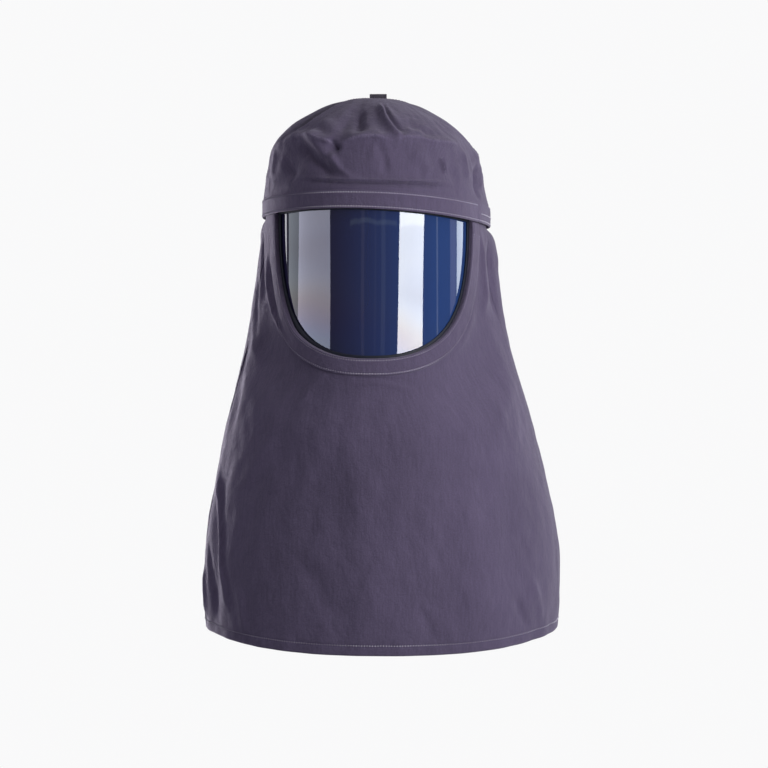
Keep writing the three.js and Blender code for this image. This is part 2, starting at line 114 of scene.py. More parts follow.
# A fold or crease: angle is degrees round from the front, at is the share of the crown's height or
# of the skirt's length, lean is degrees from upright, long and wide are half sizes and deep is
# outwards, all in millimetres.
Fold = namedtuple("Fold", "angle at lean long wide deep")
CROWN_FOLDS = [
    Fold(-62, 0.57, 84, 34, 9, 3.2),
    Fold(-28, 0.55, 96, 36, 8, 3.4),
    Fold(8, 0.56, 88, 34, 8, 3.0),
    Fold(44, 0.56, 84, 40, 9, 3.2),
    Fold(80, 0.52, 62, 24, 8, 3.6),
    Fold(-46, 0.34, 34, 34, 14, -4.2),
    Fold(-20, 0.47, 30, 12, 6, -3.6),
    Fold(-12, 0.74, 8, 22, 14, -4.0),
    Fold(14, 0.74, -30, 30, 9, 2.6),
    Fold(46, 0.3, -8, 18, 8, -2.4),
    Fold(68, 0.28, 8, 30, 8, -3.0),
]
SKIRT_FOLDS = [
    Fold(-71, 0.16, -4, 70, 8, 3.2),
    Fold(-58, 0.37, -38, 52, 9, 2.8),
    Fold(-76, 0.36, -14, 60, 10, -2.8),
    Fold(71, 0.18, 2, 66, 8, 3.0),
    Fold(60, 0.4, 22, 56, 14, 2.2),
    Fold(-66, 0.8, -3, 90, 10, -4.0),
    Fold(-26, 0.72, -6, 120, 40, -4.5),
    Fold(22, 0.9, 16, 46, 12, -2.6),
    Fold(116, 0.68, 6, 120, 22, 6.0),
    Fold(146, 0.72, 3, 130, 20, -6.0),
    Fold(180, 0.66, 0, 140, 24, 6.5),
    Fold(-146, 0.72, -3, 130, 20, -6.0),
    Fold(-116, 0.68, -6, 120, 22, 6.0),
]

# The crown's two seams from the band to the top: shares of its height and degrees round.
SEAM_LEFT = [
    (0.0, -79),
    (0.42, -78),
    (0.5, -74),
    (0.56, -67),
    (0.61, -58),
    (0.66, -50),
    (0.72, -46),
    (0.8, -43),
    (0.9, -40),
    (1.0, -39),
]
SEAM_RIGHT = [
    (0.0, 88),
    (0.5, 87),
    (0.6, 84),
    (0.68, 74),
    (0.76, 64),
    (0.85, 57),
    (0.93, 53),
    (1.0, 52),
]
# How far the back panel runs on under the front one.
SEAM_TUCK = math.radians(5)

# A crease along a line of places on the cloth, each degrees round from the front and a share of the
# crown's height or the skirt's length. deep is outwards and wide is the half width, in millimetres.
# step 0 is a ridge and 1 a step, high on the line's left side as it runs. power 2 is round, 1 sharp.
# left is how many times wider the crease is on its left side.
Crease = namedtuple("Crease", "places deep wide step power left", defaults=(0.0, 2.0, 1.0))
# The bent edge across the front of the crown, in three stretches.
KNUCKLE_LEFT = [
    (-58, 0.57),
    (-47, 0.61),
    (-40, 0.6),
    (-33, 0.57),
    (-27, 0.545),
    (-22, 0.53),
    (-18, 0.522),
    (-10, 0.52),
]
KNUCKLE_MIDDLE = [
    (-16, 0.52),
    (-11, 0.54),
    (-7.8, 0.553),
    (-4.2, 0.56),
    (1, 0.563),
    (4.5, 0.564),
    (11, 0.545),
]
KNUCKLE_RIGHT = [
    (8, 0.53),
    (13, 0.548),
    (19, 0.573),
    (28, 0.584),
    (31.5, 0.573),
    (35, 0.56),
    (40, 0.566),
    (60, 0.57),
]
CROWN_CREASES = [
    Crease(KNUCKLE_LEFT, 4.4, 2.2, 0.0, 1.6, 3.0),
    Crease(KNUCKLE_MIDDLE, 3.8, 2.0, 0.0, 1.6, 3.0),
    Crease(KNUCKLE_RIGHT, 2.8, 2.2, 0.0, 1.6, 3.4),
    Crease([(-36, 0.64), (-30, 0.60), (-26, 0.575)], 1.8, 4.0),
    Crease([(20, 0.66), (24, 0.63), (32, 0.63)], 1.6, 4.0),
    Crease([(-30, 0.62), (-15, 0.6), (0, 0.62), (12, 0.64)], 1.6, 6.0),
    Crease([(-21.5, 0.55), (-18.2, 0.51), (-15.5, 0.46)], -4.6, 2.4, 0.0, 1.5),
    Crease([(-6.5, 0.86), (-6, 0.71), (-4, 0.57)], -4.8, 6.5),
    Crease([(10, 0.92), (10.8, 0.81), (11.5, 0.74), (14.5, 0.65), (18.5, 0.56)], -4.2, 5.5, 1.0, 1.6),
    Crease([(-42, 0.6), (-33, 0.51), (-25.5, 0.41), (-21, 0.34), (-14, 0.27)], 5.4, 8.0, 1.0),
    Crease([(-25, 0.53), (-19.2, 0.42), (-14.8, 0.31), (-10.2, 0.25), (-3, 0.23)], 2.2, 3.2, 0.0, 1.6),
    Crease([(-45, 0.265), (-26, 0.23), (-13, 0.212), (4.5, 0.212), (22, 0.224), (52, 0.25)], 2.6, 2.6, 1.0),
    Crease([(39.5, 0.46), (40, 0.394), (41.5, 0.32)], -3.6, 2.4, 1.0, 1.6),
    Crease([(59.5, 0.57), (59, 0.43), (58, 0.29)], 2.6, 5.0),
    Crease([(78, 0.5), (70, 0.4), (66.5, 0.28), (66, 0.13)], -3.4, 4.0),
    Crease([(84, 0.5), (78, 0.4), (72, 0.24)], 2.4, 4.0),
    Crease([(3.5, 0.54), (7, 0.45), (7.5, 0.35), (6.5, 0.24)], -2.0, 5.0),
    Crease([(-66, 0.55), (-64, 0.45), (-65, 0.28)], 2.6, 6.0),
    Crease([(-54, 0.46), (-47, 0.34), (-41, 0.25)], -2.6, 5.0),
    Crease([(-35, 0.74), (-24, 0.68), (-16, 0.6)], 2.4, 7.0),
    Crease([(22, 0.5), (27, 0.41), (34, 0.32)], 1.9, 7.0),
    Crease([(28, 0.72), (38, 0.66), (50, 0.66)], 1.5, 6.0),
    Crease([(110, 0.24), (124, 0.42), (140, 0.5), (160, 0.46)], 2.2, 6.0, 0.5),
    Crease([(150, 0.25), (164, 0.36), (182, 0.4), (204, 0.34)], -2.2, 7.0, 0.4),
    Crease([(196, 0.56), (214, 0.5), (232, 0.38), (244, 0.24)], 2.2, 6.0, -0.5),
    Crease([(132, 0.7), (150, 0.64), (168, 0.66)], 1.8, 7.0),
]

# Where creases of the crown are painted paler: rubbed wear with a painted highlight along their crests.
# Here deep is the share of paling in thousandths.
CROWN_WEAR_AND_HIGHLIGHTS = [
    Crease(KNUCKLE_LEFT, 2200, 1.3),
    Crease(KNUCKLE_MIDDLE, 2200, 1.2),
    Crease(KNUCKLE_RIGHT, 1300, 1.3),
    Crease([(-50, 0.5), (-42, 0.42), (-34, 0.33), (-28, 0.27)], 300, 2.0),
    Crease([(10, 0.86), (12, 0.76), (15, 0.67), (18, 0.6)], 400, 1.5),
]

# The valley that runs down beside the facing on the left and turns in below it.
FACING_VALLEY = [
    (-70, 0.09),
    (-65, 0.15),
    (-62, 0.19),
    (-57.5, 0.23),
    (-51, 0.264),
    (-45, 0.285),
    (-37, 0.31),
]
# The long fold from the left side down to the hem.
SIDE_FOLD = [
    (-80, 0.58),
    (-67.8, 0.681),
    (-62.8, 0.749),
    (-60, 0.818),
    (-56.8, 0.873),
    (-54, 0.95),
]
SKIRT_CREASES = [
    Crease(FACING_VALLEY, -5.0, 3.6),
    Crease([(-74, 0.08), (-71, 0.13), (-68.5, 0.18), (-62, 0.235), (-54.5, 0.27), (-47, 0.305)], 3.4, 3.0),
    Crease([(-82, 0.02), (-80, 0.09), (-76, 0.16), (-70, 0.22)], -3.6, 3.4),
    Crease([(-84, 0.12), (-80, 0.2), (-74, 0.27), (-66, 0.33)], -2.6, 4.0),
    Crease([(-78, 0.24), (-70, 0.31), (-60, 0.36)], 2.2, 5.0),
    Crease([(88, -0.03), (88, 0.03), (88, 0.12)], 1.3, 12.0),
    Crease([(-88, -0.03), (-88, 0.01), (-88, 0.06)], 0.7, 9.0),
    Crease([(108, 0.06), (112, 0.3), (110, 0.62), (114, 0.98)], 3.2, 9.0, 0.3),
    Crease([(122, 0.3), (128, 0.6), (132, 0.96)], -3.2, 11.0),
    Crease([(146, 0.05), (150, 0.2), (149, 0.46)], 3.0, 8.0, 0.4),
    Crease([(158, 0.4), (163, 0.66), (166, 0.98)], 3.4, 12.0, 0.3),
    Crease([(178, 0.1), (182, 0.36), (180, 0.7), (184, 0.97)], -3.4, 13.0, 0.3),
    Crease([(200, 0.03), (197, 0.2), (201, 0.42)], 3.0, 8.0, -0.4),
    Crease([(214, 0.34), (210, 0.6), (207, 0.97)], 3.4, 11.0, -0.3),
    Crease([(232, 0.08), (229, 0.34), (233, 0.62), (230, 0.96)], -3.2, 10.0, 0.3),
    Crease([(250, 0.3), (247, 0.6), (244, 0.97)], 3.0, 9.0),
    Crease([(92, 0.45), (96, 0.7), (97, 0.97)], 2.8, 8.0),
    Crease([(-96, 0.2), (-99, 0.5), (-97, 0.9)], -2.6, 9.0),
    Crease([(70, 0.0), (72, 0.07), (73, 0.17), (68, 0.24)], 3.6, 4.0),
    Crease([(79, 0.02), (80, 0.14), (77, 0.24)], -4.2, 5.0),
    Crease([(64, 0.2), (54, 0.27), (44, 0.32)], 2.4, 6.0),
    Crease(SIDE_FOLD, 4.2, 5.0, -0.6),
    Crease([(-76, 0.77), (-72.5, 0.828), (-67.5, 0.895), (-65, 0.976)], -3.4, 4.0),
    Crease([(-79, 0.84), (-77, 0.9), (-76, 0.98)], 3.0, 3.6),
    Crease([(-50, 0.86), (-48, 0.92), (-47, 0.985)], 2.0, 3.4),
    Crease([(-28, 0.5), (-36, 0.56), (-42, 0.596), (-55, 0.69)], -2.6, 10.0),
    Crease([(-24.5, 0.78), (-17.8, 0.855), (-9.8, 0.943)], -2.3, 9.0),
    Crease([(13.5, 0.89), (17, 0.948), (18.5, 0.98)], -2.0, 3.6),
    Crease([(21, 0.9), (23, 0.95), (24, 0.98)], 1.6, 4.0),
    Crease([(31, 0.62), (33, 0.8), (36, 0.98)], 4.5, 20.0),
    Crease([(46, 0.87), (51, 0.931), (56, 0.981)], -2.4, 4.0),
    Crease([(54, 0.84), (60, 0.9), (64, 0.97)], 2.0, 5.0),
    Crease([(-12, 0.385), (2, 0.383), (14, 0.391), (25, 0.4)], -1.3, 3.0, 1.0),
    Crease([(-22, 0.36), (-30, 0.4), (-34, 0.46)], 1.6, 5.0),
    Crease([(-13, 0.475), (-10, 0.609), (-7.5, 0.786), (-5, 0.964)], 1.2, 14.0, 1.0),
]

MM = 0.001
FULL_TURN = 2 * math.pi
BACKDROP = (0.95, 0.95, 0.955)
ROOM_LIGHT = (0.95, 0.95, 1.0)
ROOM_STRENGTH = 0.15
# How many stitches are made in a small mesh before they join the big one.
STITCH_BATCH = 30
# How many points carry a row of stitches all round the hood.
ROW_POINTS = 1400
# How far past the opening the cloth keeps the window's curve, as shares of the opening's size.
HOLD_REACH = 1.14
HOLD_FADE = 0.4
# Where the skirt's creases begin past the opening, which leaves the facing's inner edge flat.
CREASE_REACH = 1.08
CREASE_FADE = 0.08
# How far past the band's edges the fine creases fade in.
BAND_FADE = 6 * MM
# How far above the hem's own height the turned cloth ends in a slope, how round the hem's edge is, and
# how far below its upper edge it is stitched.
HEM_SLOPE = 3.6 * MM
HEM_ROUNDING = 1.6 * MM
HEM_STITCH_INSET = 1.5 * MM
# The edge of a folded strip stands out by this share of the strip's thickness.
EDGE_SHARE = 0.15
# Edges that are bent by more than this are kept sharp.
SHARP_ANGLE = 0.95


def length(name, description, metres):
    """A size in metres that a user may change."""
    return FloatProperty(name=name, description=description, default=metres, precision=4, unit="LENGTH")


def turn(name, description, degrees):
    """An angle that a user may change."""
    return FloatProperty(
        name=name, description=description, default=math.radians(degrees), subtype="ANGLE"
    )


def tone(name, description, colour):
    """A colour that a user may change."""
    return FloatVectorProperty(
        name=name, description=description, default=colour, subtype="COLOR", min=0.0, max=1.0
    )


class HoodShape(bpy.types.PropertyGroup):
    """Sizes of the hood and of its cloth layers."""

    crown_height: length("Crown height", "From the band's lower edge to the top", 0.13)
    crown_half_width: length("Crown half width", "Half the width at the brow", 0.1225)
    crown_front: length("Crown front", "Reach of the brow to the front", 0.15)
    crown_back: length("Crown back", "Reach of the brow to the back", 0.13)
    skirt_length: length("Skirt length", "From the band's lower edge to the hem at the sides", 0.444)
    hem_half_width: length("Hem half width", "Half the width at the hem", 0.1965)
    hem_front: length("Hem front", "Reach of the hem to the front", 0.166)
    hem_back: length("Hem back", "Reach of the hem to the back", 0.168)
    hem_front_dip: length("Hem front dip", "How far the hem hangs lower in front", 0.0146)
    hem_back_dip: length("Hem back dip", "How far the hem hangs lower behind", 0.008)
    hem_low_angle: turn("Hem low angle", "Where the hem hangs lowest", 2)
    hem_height: length("Hem height", "Width of the turned hem", 0.012)
    lean: length("Lean", "How far the hem hangs to one side", 0.006)
    band_height: length("Band height", "Width of the brow band", 0.019)
    band_side_drop: length("Band side drop", "How far the band is lower at the sides", 0.005)
    band_tilt: length("Band tilt", "How far the band tilts to one side", 0.005)
    bib_tuck: length("Bib tuck", "How far the bib runs up behind the band", 0.013)
    band_cloth: length("Band cloth", "Thickness of the brow band", 0.0014)
    facing_cloth: length("Facing cloth", "Thickness of the strip round the opening", 0.0015)
    hem_cloth: length("Hem cloth", "Thickness of the turned hem", 0.0038)
    gap: length("Gap", "Clearance between layers", 0.0004)


class HoodOpening(bpy.types.PropertyGroup):
    """The window opening, its facing, its binding and its clear sheet."""

    half_angle: turn("Half angle", "Half the opening's width round the hood", 60)
    depth: length("Depth", "From the band down to the opening's lowest point", 0.154)
    roundness: FloatProperty(name="Roundness", description="2 is an ellipse, more is squarer", default=2.4)
    corner_share: FloatProperty(
        name="Pulled corner", description="Where the edge is pulled out, as a share of it", default=0.27
    )
    facing_width: length("Facing width", "Width of the sewn strip round the opening", 0.018)
    seal_reveal: length("Binding reveal", "How much of the dark binding shows at the sides", 0.0034)
    seal_low_reveal: length("Binding reveal below", "How much of it shows below the window", 0.003)
    seal_top_reveal: length("Binding reveal above", "How much of it shows below the band", 0.0009)
    seal_lap: length("Binding lap", "How far the binding runs behind the cloth", 0.009)
    seal_thickness: length("Binding thickness", "Thickness of the dark binding", 0.0016)
    window_thickness: length("Window thickness", "Thickness of the clear sheet", 0.002)
    side_seam: turn("Side seam", "Where the front and back bibs meet", 80)
    band_join: turn("Band join", "Where the brow band's end laps over", 63)


class HoodFinish(bpy.types.PropertyGroup):
    """Stitches, colours and the scale of the weave."""

    stitch_pitch: length("Stitch pitch", "From one stitch to the next", 0.0028)
    stitch_length: length("Stitch length", "Length of one stitch on top of the cloth", 0.0008)
    thread_radius: length("Thread radius", "Half the thread's thickness", 0.00065)
    stitch_inset: length("Stitch inset", "From a sewn edge to its row of stitches", 0.0022)
    weave_pitch: length("Weave pitch", "From one rib of the twill to the next", 0.0009)
    cloth_dark: tone("Cloth dark", "Darker yarn", (0.06, 0.047, 0.084))
    cloth_light: tone("Cloth light", "Lighter yarn", (0.105, 0.083, 0.146))
    # Paint for rubbed wear and for painted highlights on the crown; the thread's painted shade runs to it
    # too.
    cloth_pale: tone("Cloth worn", "Rubbed edges", (0.15, 0.125, 0.195))
    thread: tone("Thread", "Top stitching", (0.9, 0.86, 0.97))
    binding: tone("Binding", "Dark rim of the window", (0.005, 0.006, 0.012))
    window: tone("Window", "Tint of the clear sheet", (0.018, 0.05, 0.18))
    window_left: tone("Window left", "Its tint on the shaded side", (0.02, 0.017, 0.06))
    tape: tone("Tape", "Loop on the crown", (0.05, 0.042, 0.06))


class HoodStage(bpy.types.PropertyGroup):
    """Camera and floor."""

    distance: length("Camera distance", "From the middle of the hood to the camera", 2.6)
    camera_height: length("Camera height", "Height of the level camera", -0.3077)
    camera_side: length("Camera side", "How far right of the hood the camera aims", 0.0087)
    camera_turn: turn("Camera turn", "How far round to the right the camera stands", 1.7)
    lens: FloatProperty(name="Lens", description="Focal length in millimetres", default=111.8)
    floor_drop: length("Floor drop", "How far the floor lies below the hem", 0.5)
    floor_size: length("Floor size", "Half the floor's width", 12.0)


def shape():
    """The sizes of the hood."""
    return bpy.context.scene.hood_shape


def opening():
    """The sizes of the window opening."""
    return bpy.context.scene.hood_opening


def finish():
    """The stitches and colours."""
    return bpy.context.scene.hood_finish


def smooth_step(x):
    """0 below 0, 1 above 1, and a smooth rise between."""
    t = np.clip(x, 0.0, 1.0)
    return t * t * (3 - 2 * t)


def lerp(a, b, share):
    """A value between two, by a share."""
    return a + (b - a) * share


def bell(away, wide):
    """1 where away is 0, and a smooth fall to both sides."""
    return np.exp(-((away / wide) ** 2))


def rounded(away, radius):
    """0 on an edge and 1 a radius away from it, round between."""
    return np.sqrt(1 - (1 - np.clip(away / radius, 0, 1)) ** 2)


def wrapped(angle):
    """The same angle, at most half a turn from 0."""
    return np.arctan2(np.sin(angle), np.cos(angle))


def walk(points):
    """Distance along a line at each of its points."""
    steps = np.linalg.norm(np.diff(points, axis=0), axis=1)
    return np.concatenate([[0], np.cumsum(steps)])


def rows_at(table, place, mirrored=False):
    """The columns of a section table at places between its rows, on a smooth curve through them.
    A mirrored curve goes on past its last row as it came, which rounds the crown's top."""
    rows = np.array(table)
    before = 2 * rows[0] - rows[1]
    after = 2 * rows[-1] - rows[-2]
    if mirrored:
        after[[0, 4]] = rows[-2][[0, 4]]
    padded = np.vstack([before, rows, after])
    index = np.clip(np.floor(place).astype(int), 0, len(rows) - 2)
    share = (place - index)[..., None]
    a, b, c, d = (padded[index + k] for k in range(4))
    curve = 2 * b + (c - a) * share + (2 * a - 5 * b + 4 * c - d) * share**2
    return Section(*np.moveaxis(0.5 * (curve + (3 * b - a - 3 * c + d) * share**3), -1, 0))


def place_of(table, value):
    """Places in a section table where its first column reaches a value."""
    places = np.linspace(0, len(table) - 1, 4001)
    return np.interp(value, rows_at(table, places).at, places)


def band_line(angle):
    """Height of the band's lower edge."""
    s, side = shape(), np.sin(angle)
    return CLOTH - s.crown_height - s.band_side_drop * side**2 - s.band_tilt * side


def hem_line(angle):
    """Height of the hem."""
    s, turned = shape(), angle - shape().hem_low_angle
    dip = np.where(np.cos(turned) > 0, s.hem_front_dip, s.hem_back_dip)
    return CLOTH - s.crown_height - s.skirt_length - dip * (1 - np.abs(np.sin(turned)) ** 3)


def oval(angle, half_width, front, back, shift, height):
    """Points of an oval section: a half ellipse in front and another behind."""
    depth = np.where(np.cos(angle) > 0, front, back)
    return np.stack([shift + half_width * np.sin(angle), -depth * np.cos(angle), height + 0 * angle], -1)


def crown_point(angle, place):
    """The crown's own surface, where place runs along the rows of its table."""
    s, row = shape(), rows_at(CROWN_SECTIONS, place, True)
    base = band_line(angle)
    width, front, back = s.crown_half_width * row.width, s.crown_front * row.front, s.crown_back * row.back
    return oval(angle, width, front, back, s.lean * row.shift, base + row.at * (CLOTH - base))


def opening_reach(angle, height):
    """1 on the opening's edge, less inside it and more outside it."""
    o = opening()
    below = np.maximum(0, band_line(angle) - height)
    aside = np.abs(wrapped(angle) / o.half_angle)
    return (aside**o.roundness + (below / o.depth) ** o.roundness) ** (1 / o.roundness)


def window_hold(angle, height):
    """1 on the window's own curve, and 0 where the skirt hangs free of it."""
    return 1 - smooth_step((opening_reach(angle, height) - HOLD_REACH) / HOLD_FADE)


def skirt_point(angle, height):
    """The skirt's surface. Near the window it keeps the upright curve of the band."""
    s, top = shape(), band_line(angle)
    drop = np.clip((top - height) / (top - hem_line(angle)), 0, 1)
    row = rows_at(SKIRT_SECTIONS, place_of(SKIRT_SECTIONS, drop))
    free = np.where(drop > 0, 1 - window_hold(angle, height), 0)
    return oval(
        angle,
        s.crown_half_width + (s.hem_half_width - s.crown_half_width) * row.width * free,
        s.crown_front + (s.hem_front - s.crown_front) * row.front * free,
        s.crown_back + (s.hem_back - s.crown_back) * row.back * free,
        s.lean * row.shift * free,
        height,
    )


def fold_depth(folds, angle, height, height_of):
    """How far the folds of a table push the cloth outwards."""
    total = np.zeros_like(angle)
    for fold in folds:
        centre, lean = math.radians(fold.angle), math.radians(fold.lean)
        across = wrapped(angle - centre) * shape().crown_half_width
        up = height - height_of(fold.at, np.array(centre))
        along = (up * math.cos(lean) + across * math.sin(lean)) / (fold.long * MM)
        aside = (across * math.cos(lean) - up * math.sin(lean)) / (fold.wide * MM)
        total += fold.deep * MM * np.exp(-(along**2) - aside**2)
    return total


def crease_depth(creases, angle, height, height_of):
    """How far the creases of a table push the cloth outwards. Each fades out at both ends."""
    radius = shape().crown_half_width
    end_share = 0.3
    farthest = 9.0
    total = np.zeros_like(angle)
    for crease in creases:
        turned = np.radians([place[0] for place in crease.places])
        middle = turned.mean()
        x, y = wrapped(angle - middle) * radius, height
        line_x = (turned - middle) * radius
        line_y = height_of(np.array([place[1] for place in crease.places]), turned)
        walked = walk(np.stack([line_x, line_y], -1))
        nearest = np.full_like(x, farthest)
        side = np.ones_like(x)
        along = np.zeros_like(x)
        for k in range(len(turned) - 1):
            dx, dy, run = line_x[k + 1] - line_x[k], line_y[k + 1] - line_y[k], walked[k + 1] - walked[k]
            share = np.clip(((x - line_x[k]) * dx + (y - line_y[k]) * dy) / run**2, 0, 1)
            off_x, off_y = x - line_x[k] - share * dx, y - line_y[k] - share * dy
            far = np.hypot(off_x, off_y)
            closer = far < nearest
            nearest = np.where(closer, far, nearest)
            side = np.where(closer, np.sign(dx * off_y - dy * off_x), side)
            along = np.where(closer, walked[k] + share * run, along)
        aside = nearest / (crease.wide * MM) / np.where(side > 0, crease.left, 1.0)
        ridge = np.exp(-(aside**crease.power))
        # A step's highest point is 1 too.
        edge = side * math.sqrt(2 * math.e) * aside * np.exp(-(aside**2))
        fade = smooth_step(np.minimum(along, walked[-1] - along) / (end_share * walked[-1]))
        profile = ridge if crease.step == 0 else lerp(ridge, edge * np.sign(crease.step), abs(crease.step))
        total += crease.deep * MM * fade * profile
    return total


def ripples(x, y, size, seed, waves=14):
    """A smooth, uneven field from -1 to 1 with ripples of about a given size."""
    draw = np.random.default_rng(seed)
    total = np.zeros_like(x)
    for _ in range(waves):
        heading, phase = draw.uniform(0, FULL_TURN, 2)
        step = FULL_TURN / (size * draw.uniform(0.7, 1.6))
        total += np.sin((x * math.cos(heading) + y * math.sin(heading)) * step + phase)
    return total / math.sqrt(2 * waves)


def flat_near_band(height, angle):
    """Folds fade out towards the band, where the layers are stitched flat."""
    s = shape()
    away = np.abs(height - band_line(angle) - s.bib_tuck / 2) - s.band_height
    return smooth_step(away / s.band_height)


def crown_rise(share, angle):
    """Height at a share of the way from the band's lower edge to the crown's top."""
    return lerp(band_line(angle), CLOTH, share)


def crown_fold(angle, place):
    """Folds, creases and ripples of the crown."""
    s, row = shape(), rows_at(CROWN_SECTIONS, place, True)
    height = crown_rise(row.at, angle)
    top_share = 0.2
    near_top = smooth_step((1 - row.at) / top_share)
    folds = fold_depth(CROWN_FOLDS, angle, height, crown_rise) * flat_near_band(height, angle)
    above_band = smooth_step((height - band_line(angle) - s.band_height - 1.5 * MM) / BAND_FADE)
    around = angle * s.crown_half_width
    fine = crease_depth(CROWN_CREASES, angle, height, crown_rise)
    fine += 0.5 * MM * ripples(around, height * 1.4, 0.034, 3)
    fine += 0.22 * MM * ripples(around, height, 0.013, 4)
    return (folds + fine * above_band) * near_top


def skirt_fold(angle, height):
    """Folds, creases and ripples of the skirt."""
    s = shape()

    def height_of(at, centre):
        return band_line(centre) + at * (hem_line(centre) - band_line(centre))

    free = 1 - window_hold(angle, height)
    folds = fold_depth(SKIRT_FOLDS, angle, height, height_of) * flat_near_band(height, angle)
    below_band = smooth_step((band_line(angle) - height) / BAND_FADE)
    past_binding = smooth_step((opening_reach(angle, height) - CREASE_REACH) / CREASE_FADE)
    around = angle * s.crown_half_width
    creases = crease_depth(SKIRT_CREASES, angle, height, height_of) * past_binding
    rippled = 0.7 * MM * ripples(around * 1.8, height * 0.5, 0.05, 5)
    rippled += 0.28 * MM * ripples(around * 1.5, height * 0.7, 0.018, 6)
    return (folds + rippled * below_band) * free + creases * below_band


def normal_at(surface, angle, along):
    """Outward normals of a surface, from its two directions."""
    step, tiny = 1e-4, 1e-16
    a = surface(angle + step, along) - surface(angle - step, along)
    b = surface(angle, along + step) - surface(angle, along - step)
    normal = np.cross(a, b)
    size = np.linalg.norm(normal, axis=-1, keepdims=True)
    normal = np.where(size > tiny, normal / np.maximum(size, tiny), [0.0, 0.0, 1.0])
    point = surface(angle, along)
    inwards = (normal[..., :2] * point[..., :2]).sum(-1) < 0
    return np.where(inwards[..., None], -normal, normal)


def on_crown(angle, place, outwards):
    """Points at a distance outwards from the folded crown."""
    top = place > len(CROWN_SECTIONS) - 1 - 1e-6
    normal = np.where(top[..., None], [0.0, 0.0, 1.0], normal_at(crown_point, angle, place))
    reach = outwards + np.where(top, 0, crown_fold(angle, place))
    return crown_point(angle, place) + normal * reach[..., None]


def on_skirt(angle, height, outwards):
    """Points at a distance outwards from the folded bib, which hangs inside the crown's cloth."""
    reach = outwards - CLOTH - shape().gap + skirt_fold(angle, height)
    return skirt_point(angle, height) + normal_at(skirt_point, angle, height) * reach[..., None]


def window_point(angle, height, inwards):
    """The window's upright curve: the band's oval, moved inwards."""
    s = shape()
    return oval(
        angle,
        s.crown_half_width - inwards,
        s.crown_front - inwards,
        s.crown_back - inwards,
        0.0,
        height,
    )


def opening_edge(share, wider, top):
    """Angle and height of the opening's edge, from its left corner down and round to its right one.
    Low on the left the cloth, but not the binding, is pulled out to a soft corner."""
    s, o = shape(), opening()
    pull, pull_spread, pull_power = 2.8 * MM, 0.07, 1.4
    pulled = pull * np.exp(-((np.abs(share - o.corner_share) / pull_spread) ** pull_power))
    wider = np.where(np.asarray(wider) >= 0, wider + pulled, wider)
    phase, power = math.pi * share, 2 / o.roundness
    cosine = np.cos(phase)
    angle = (o.half_angle + wider / s.crown_half_width) * -np.sign(cosine) * np.abs(cosine) ** power
    start = band_line(angle) + top
    depth = o.depth + wider + start - (CLOTH - s.crown_height)
    return angle, start - depth * np.sin(np.clip(phase, 0, math.pi)) ** power


def strip_outside(share, width, cloth):
    """How far a folded strip stands out: round edges, and a groove along each row of stitches."""
    rounding, groove, groove_width = 0.9 * MM, 0.3 * MM, 0.8 * MM
    side = np.minimum(share, 1 - share) * width
    swell = EDGE_SHARE + (1 - EDGE_SHARE) * rounded(side, rounding)
    return shape().gap + cloth * swell - groove * bell(side - finish().stitch_inset, groove_width)


def strip_worn(share, width):
    """Rubbed cloth along both edges of a strip."""
    return bell(np.minimum(share, 1 - share) * width, 1.0 * MM)


def lay_wall(name, place, cloth_map, material, columns, rows, wear_and_painted_light=None, ring=False):
    """A closed wall: an even grid, extruded inwards and laid in place. place(u, v, inside) gives the
    points, cloth_map(u, v) gives the cloth's own flat coordinates in metres."""
    bm = bmesh.new()
    bmesh.ops.create_grid(bm, x_segments=columns, y_segments=rows, size=0.5)
    copied = bmesh.ops.extrude_face_region(bm, geom=bm.faces[:], use_keep_orig=True)["geom"]
    inner = [part for part in copied if isinstance(part, bmesh.types.BMVert)]
    bmesh.ops.translate(bm, vec=(0, 0, -1), verts=inner)
    if ring:
        ends = [f for f in bm.faces if all(abs(abs(v.co.x) - 0.5) < 1e-5 for v in f.verts)]
        bmesh.ops.delete(bm, geom=ends, context="FACES_ONLY")
    flat = np.array([v.co for v in bm.verts])
    u, v, inside = flat[:, 0] + 0.5, flat[:, 1] + 0.5, flat[:, 2] < -0.5
    points = place(u, v, inside)
    cloth = np.stack(cloth_map(u, v), -1)
    # This attribute holds rubbed wear, painted highlights, and painted shade where it is below 0.
    wear_and_light_values = np.zeros_like(u) if wear_and_painted_light is None else wear_and_painted_light(u, v) * ~inside
    wear_and_light_layer = bm.verts.layers.float.new("wear_and_painted_light")
    uv_layer = bm.loops.layers.uv.new("cloth")
    bm.verts.index_update()
    for face in bm.faces:
        face.smooth = True
        for loop in face.loops:
            loop[uv_layer].uv = cloth[loop.vert.index]
    for vert, point, wear_and_light_value in zip(bm.verts, points, wear_and_light_values):
        vert.co = point
        vert[wear_and_light_layer] = wear_and_light_value
    bmesh.ops.remove_doubles(bm, verts=bm.verts, dist=2e-6)
    bmesh.ops.recalc_face_normals(bm, faces=bm.faces)
    for edge in bm.edges:
        if len(edge.link_faces) == 2 and edge.calc_face_angle() > SHARP_ANGLE:
            edge.smooth = False
    return add_piece(name, bm, material)


def add_piece(name, bm, material):
    """A new object from a bmesh, with its material."""
    mesh = bpy.data.meshes.new(name)
    bm.to_mesh(mesh)
    bm.free()
    mesh.materials.append(material)
    piece = bpy.data.objects.new(name, mesh)
    bpy.context.collection.objects.link(piece)
    return piece


def dress(piece, slot, *nodes):
    """Ties a finished piece to the frame."""
    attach(piece, "root")
    if nodes:
        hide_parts(*nodes)
    return piece


def crown_map(angle, place):
    """Flat cloth coordinates of the crown: even distances from the top, with no pinch there."""
    line_angle = 0.8
    places = np.linspace(0, len(CROWN_SECTIONS) - 1, 400)
    walked = walk(crown_point(np.full_like(places, line_angle), places))
    away = np.interp(place, places, walked[-1] - walked)
    return away * np.sin(angle), away * np.cos(angle)


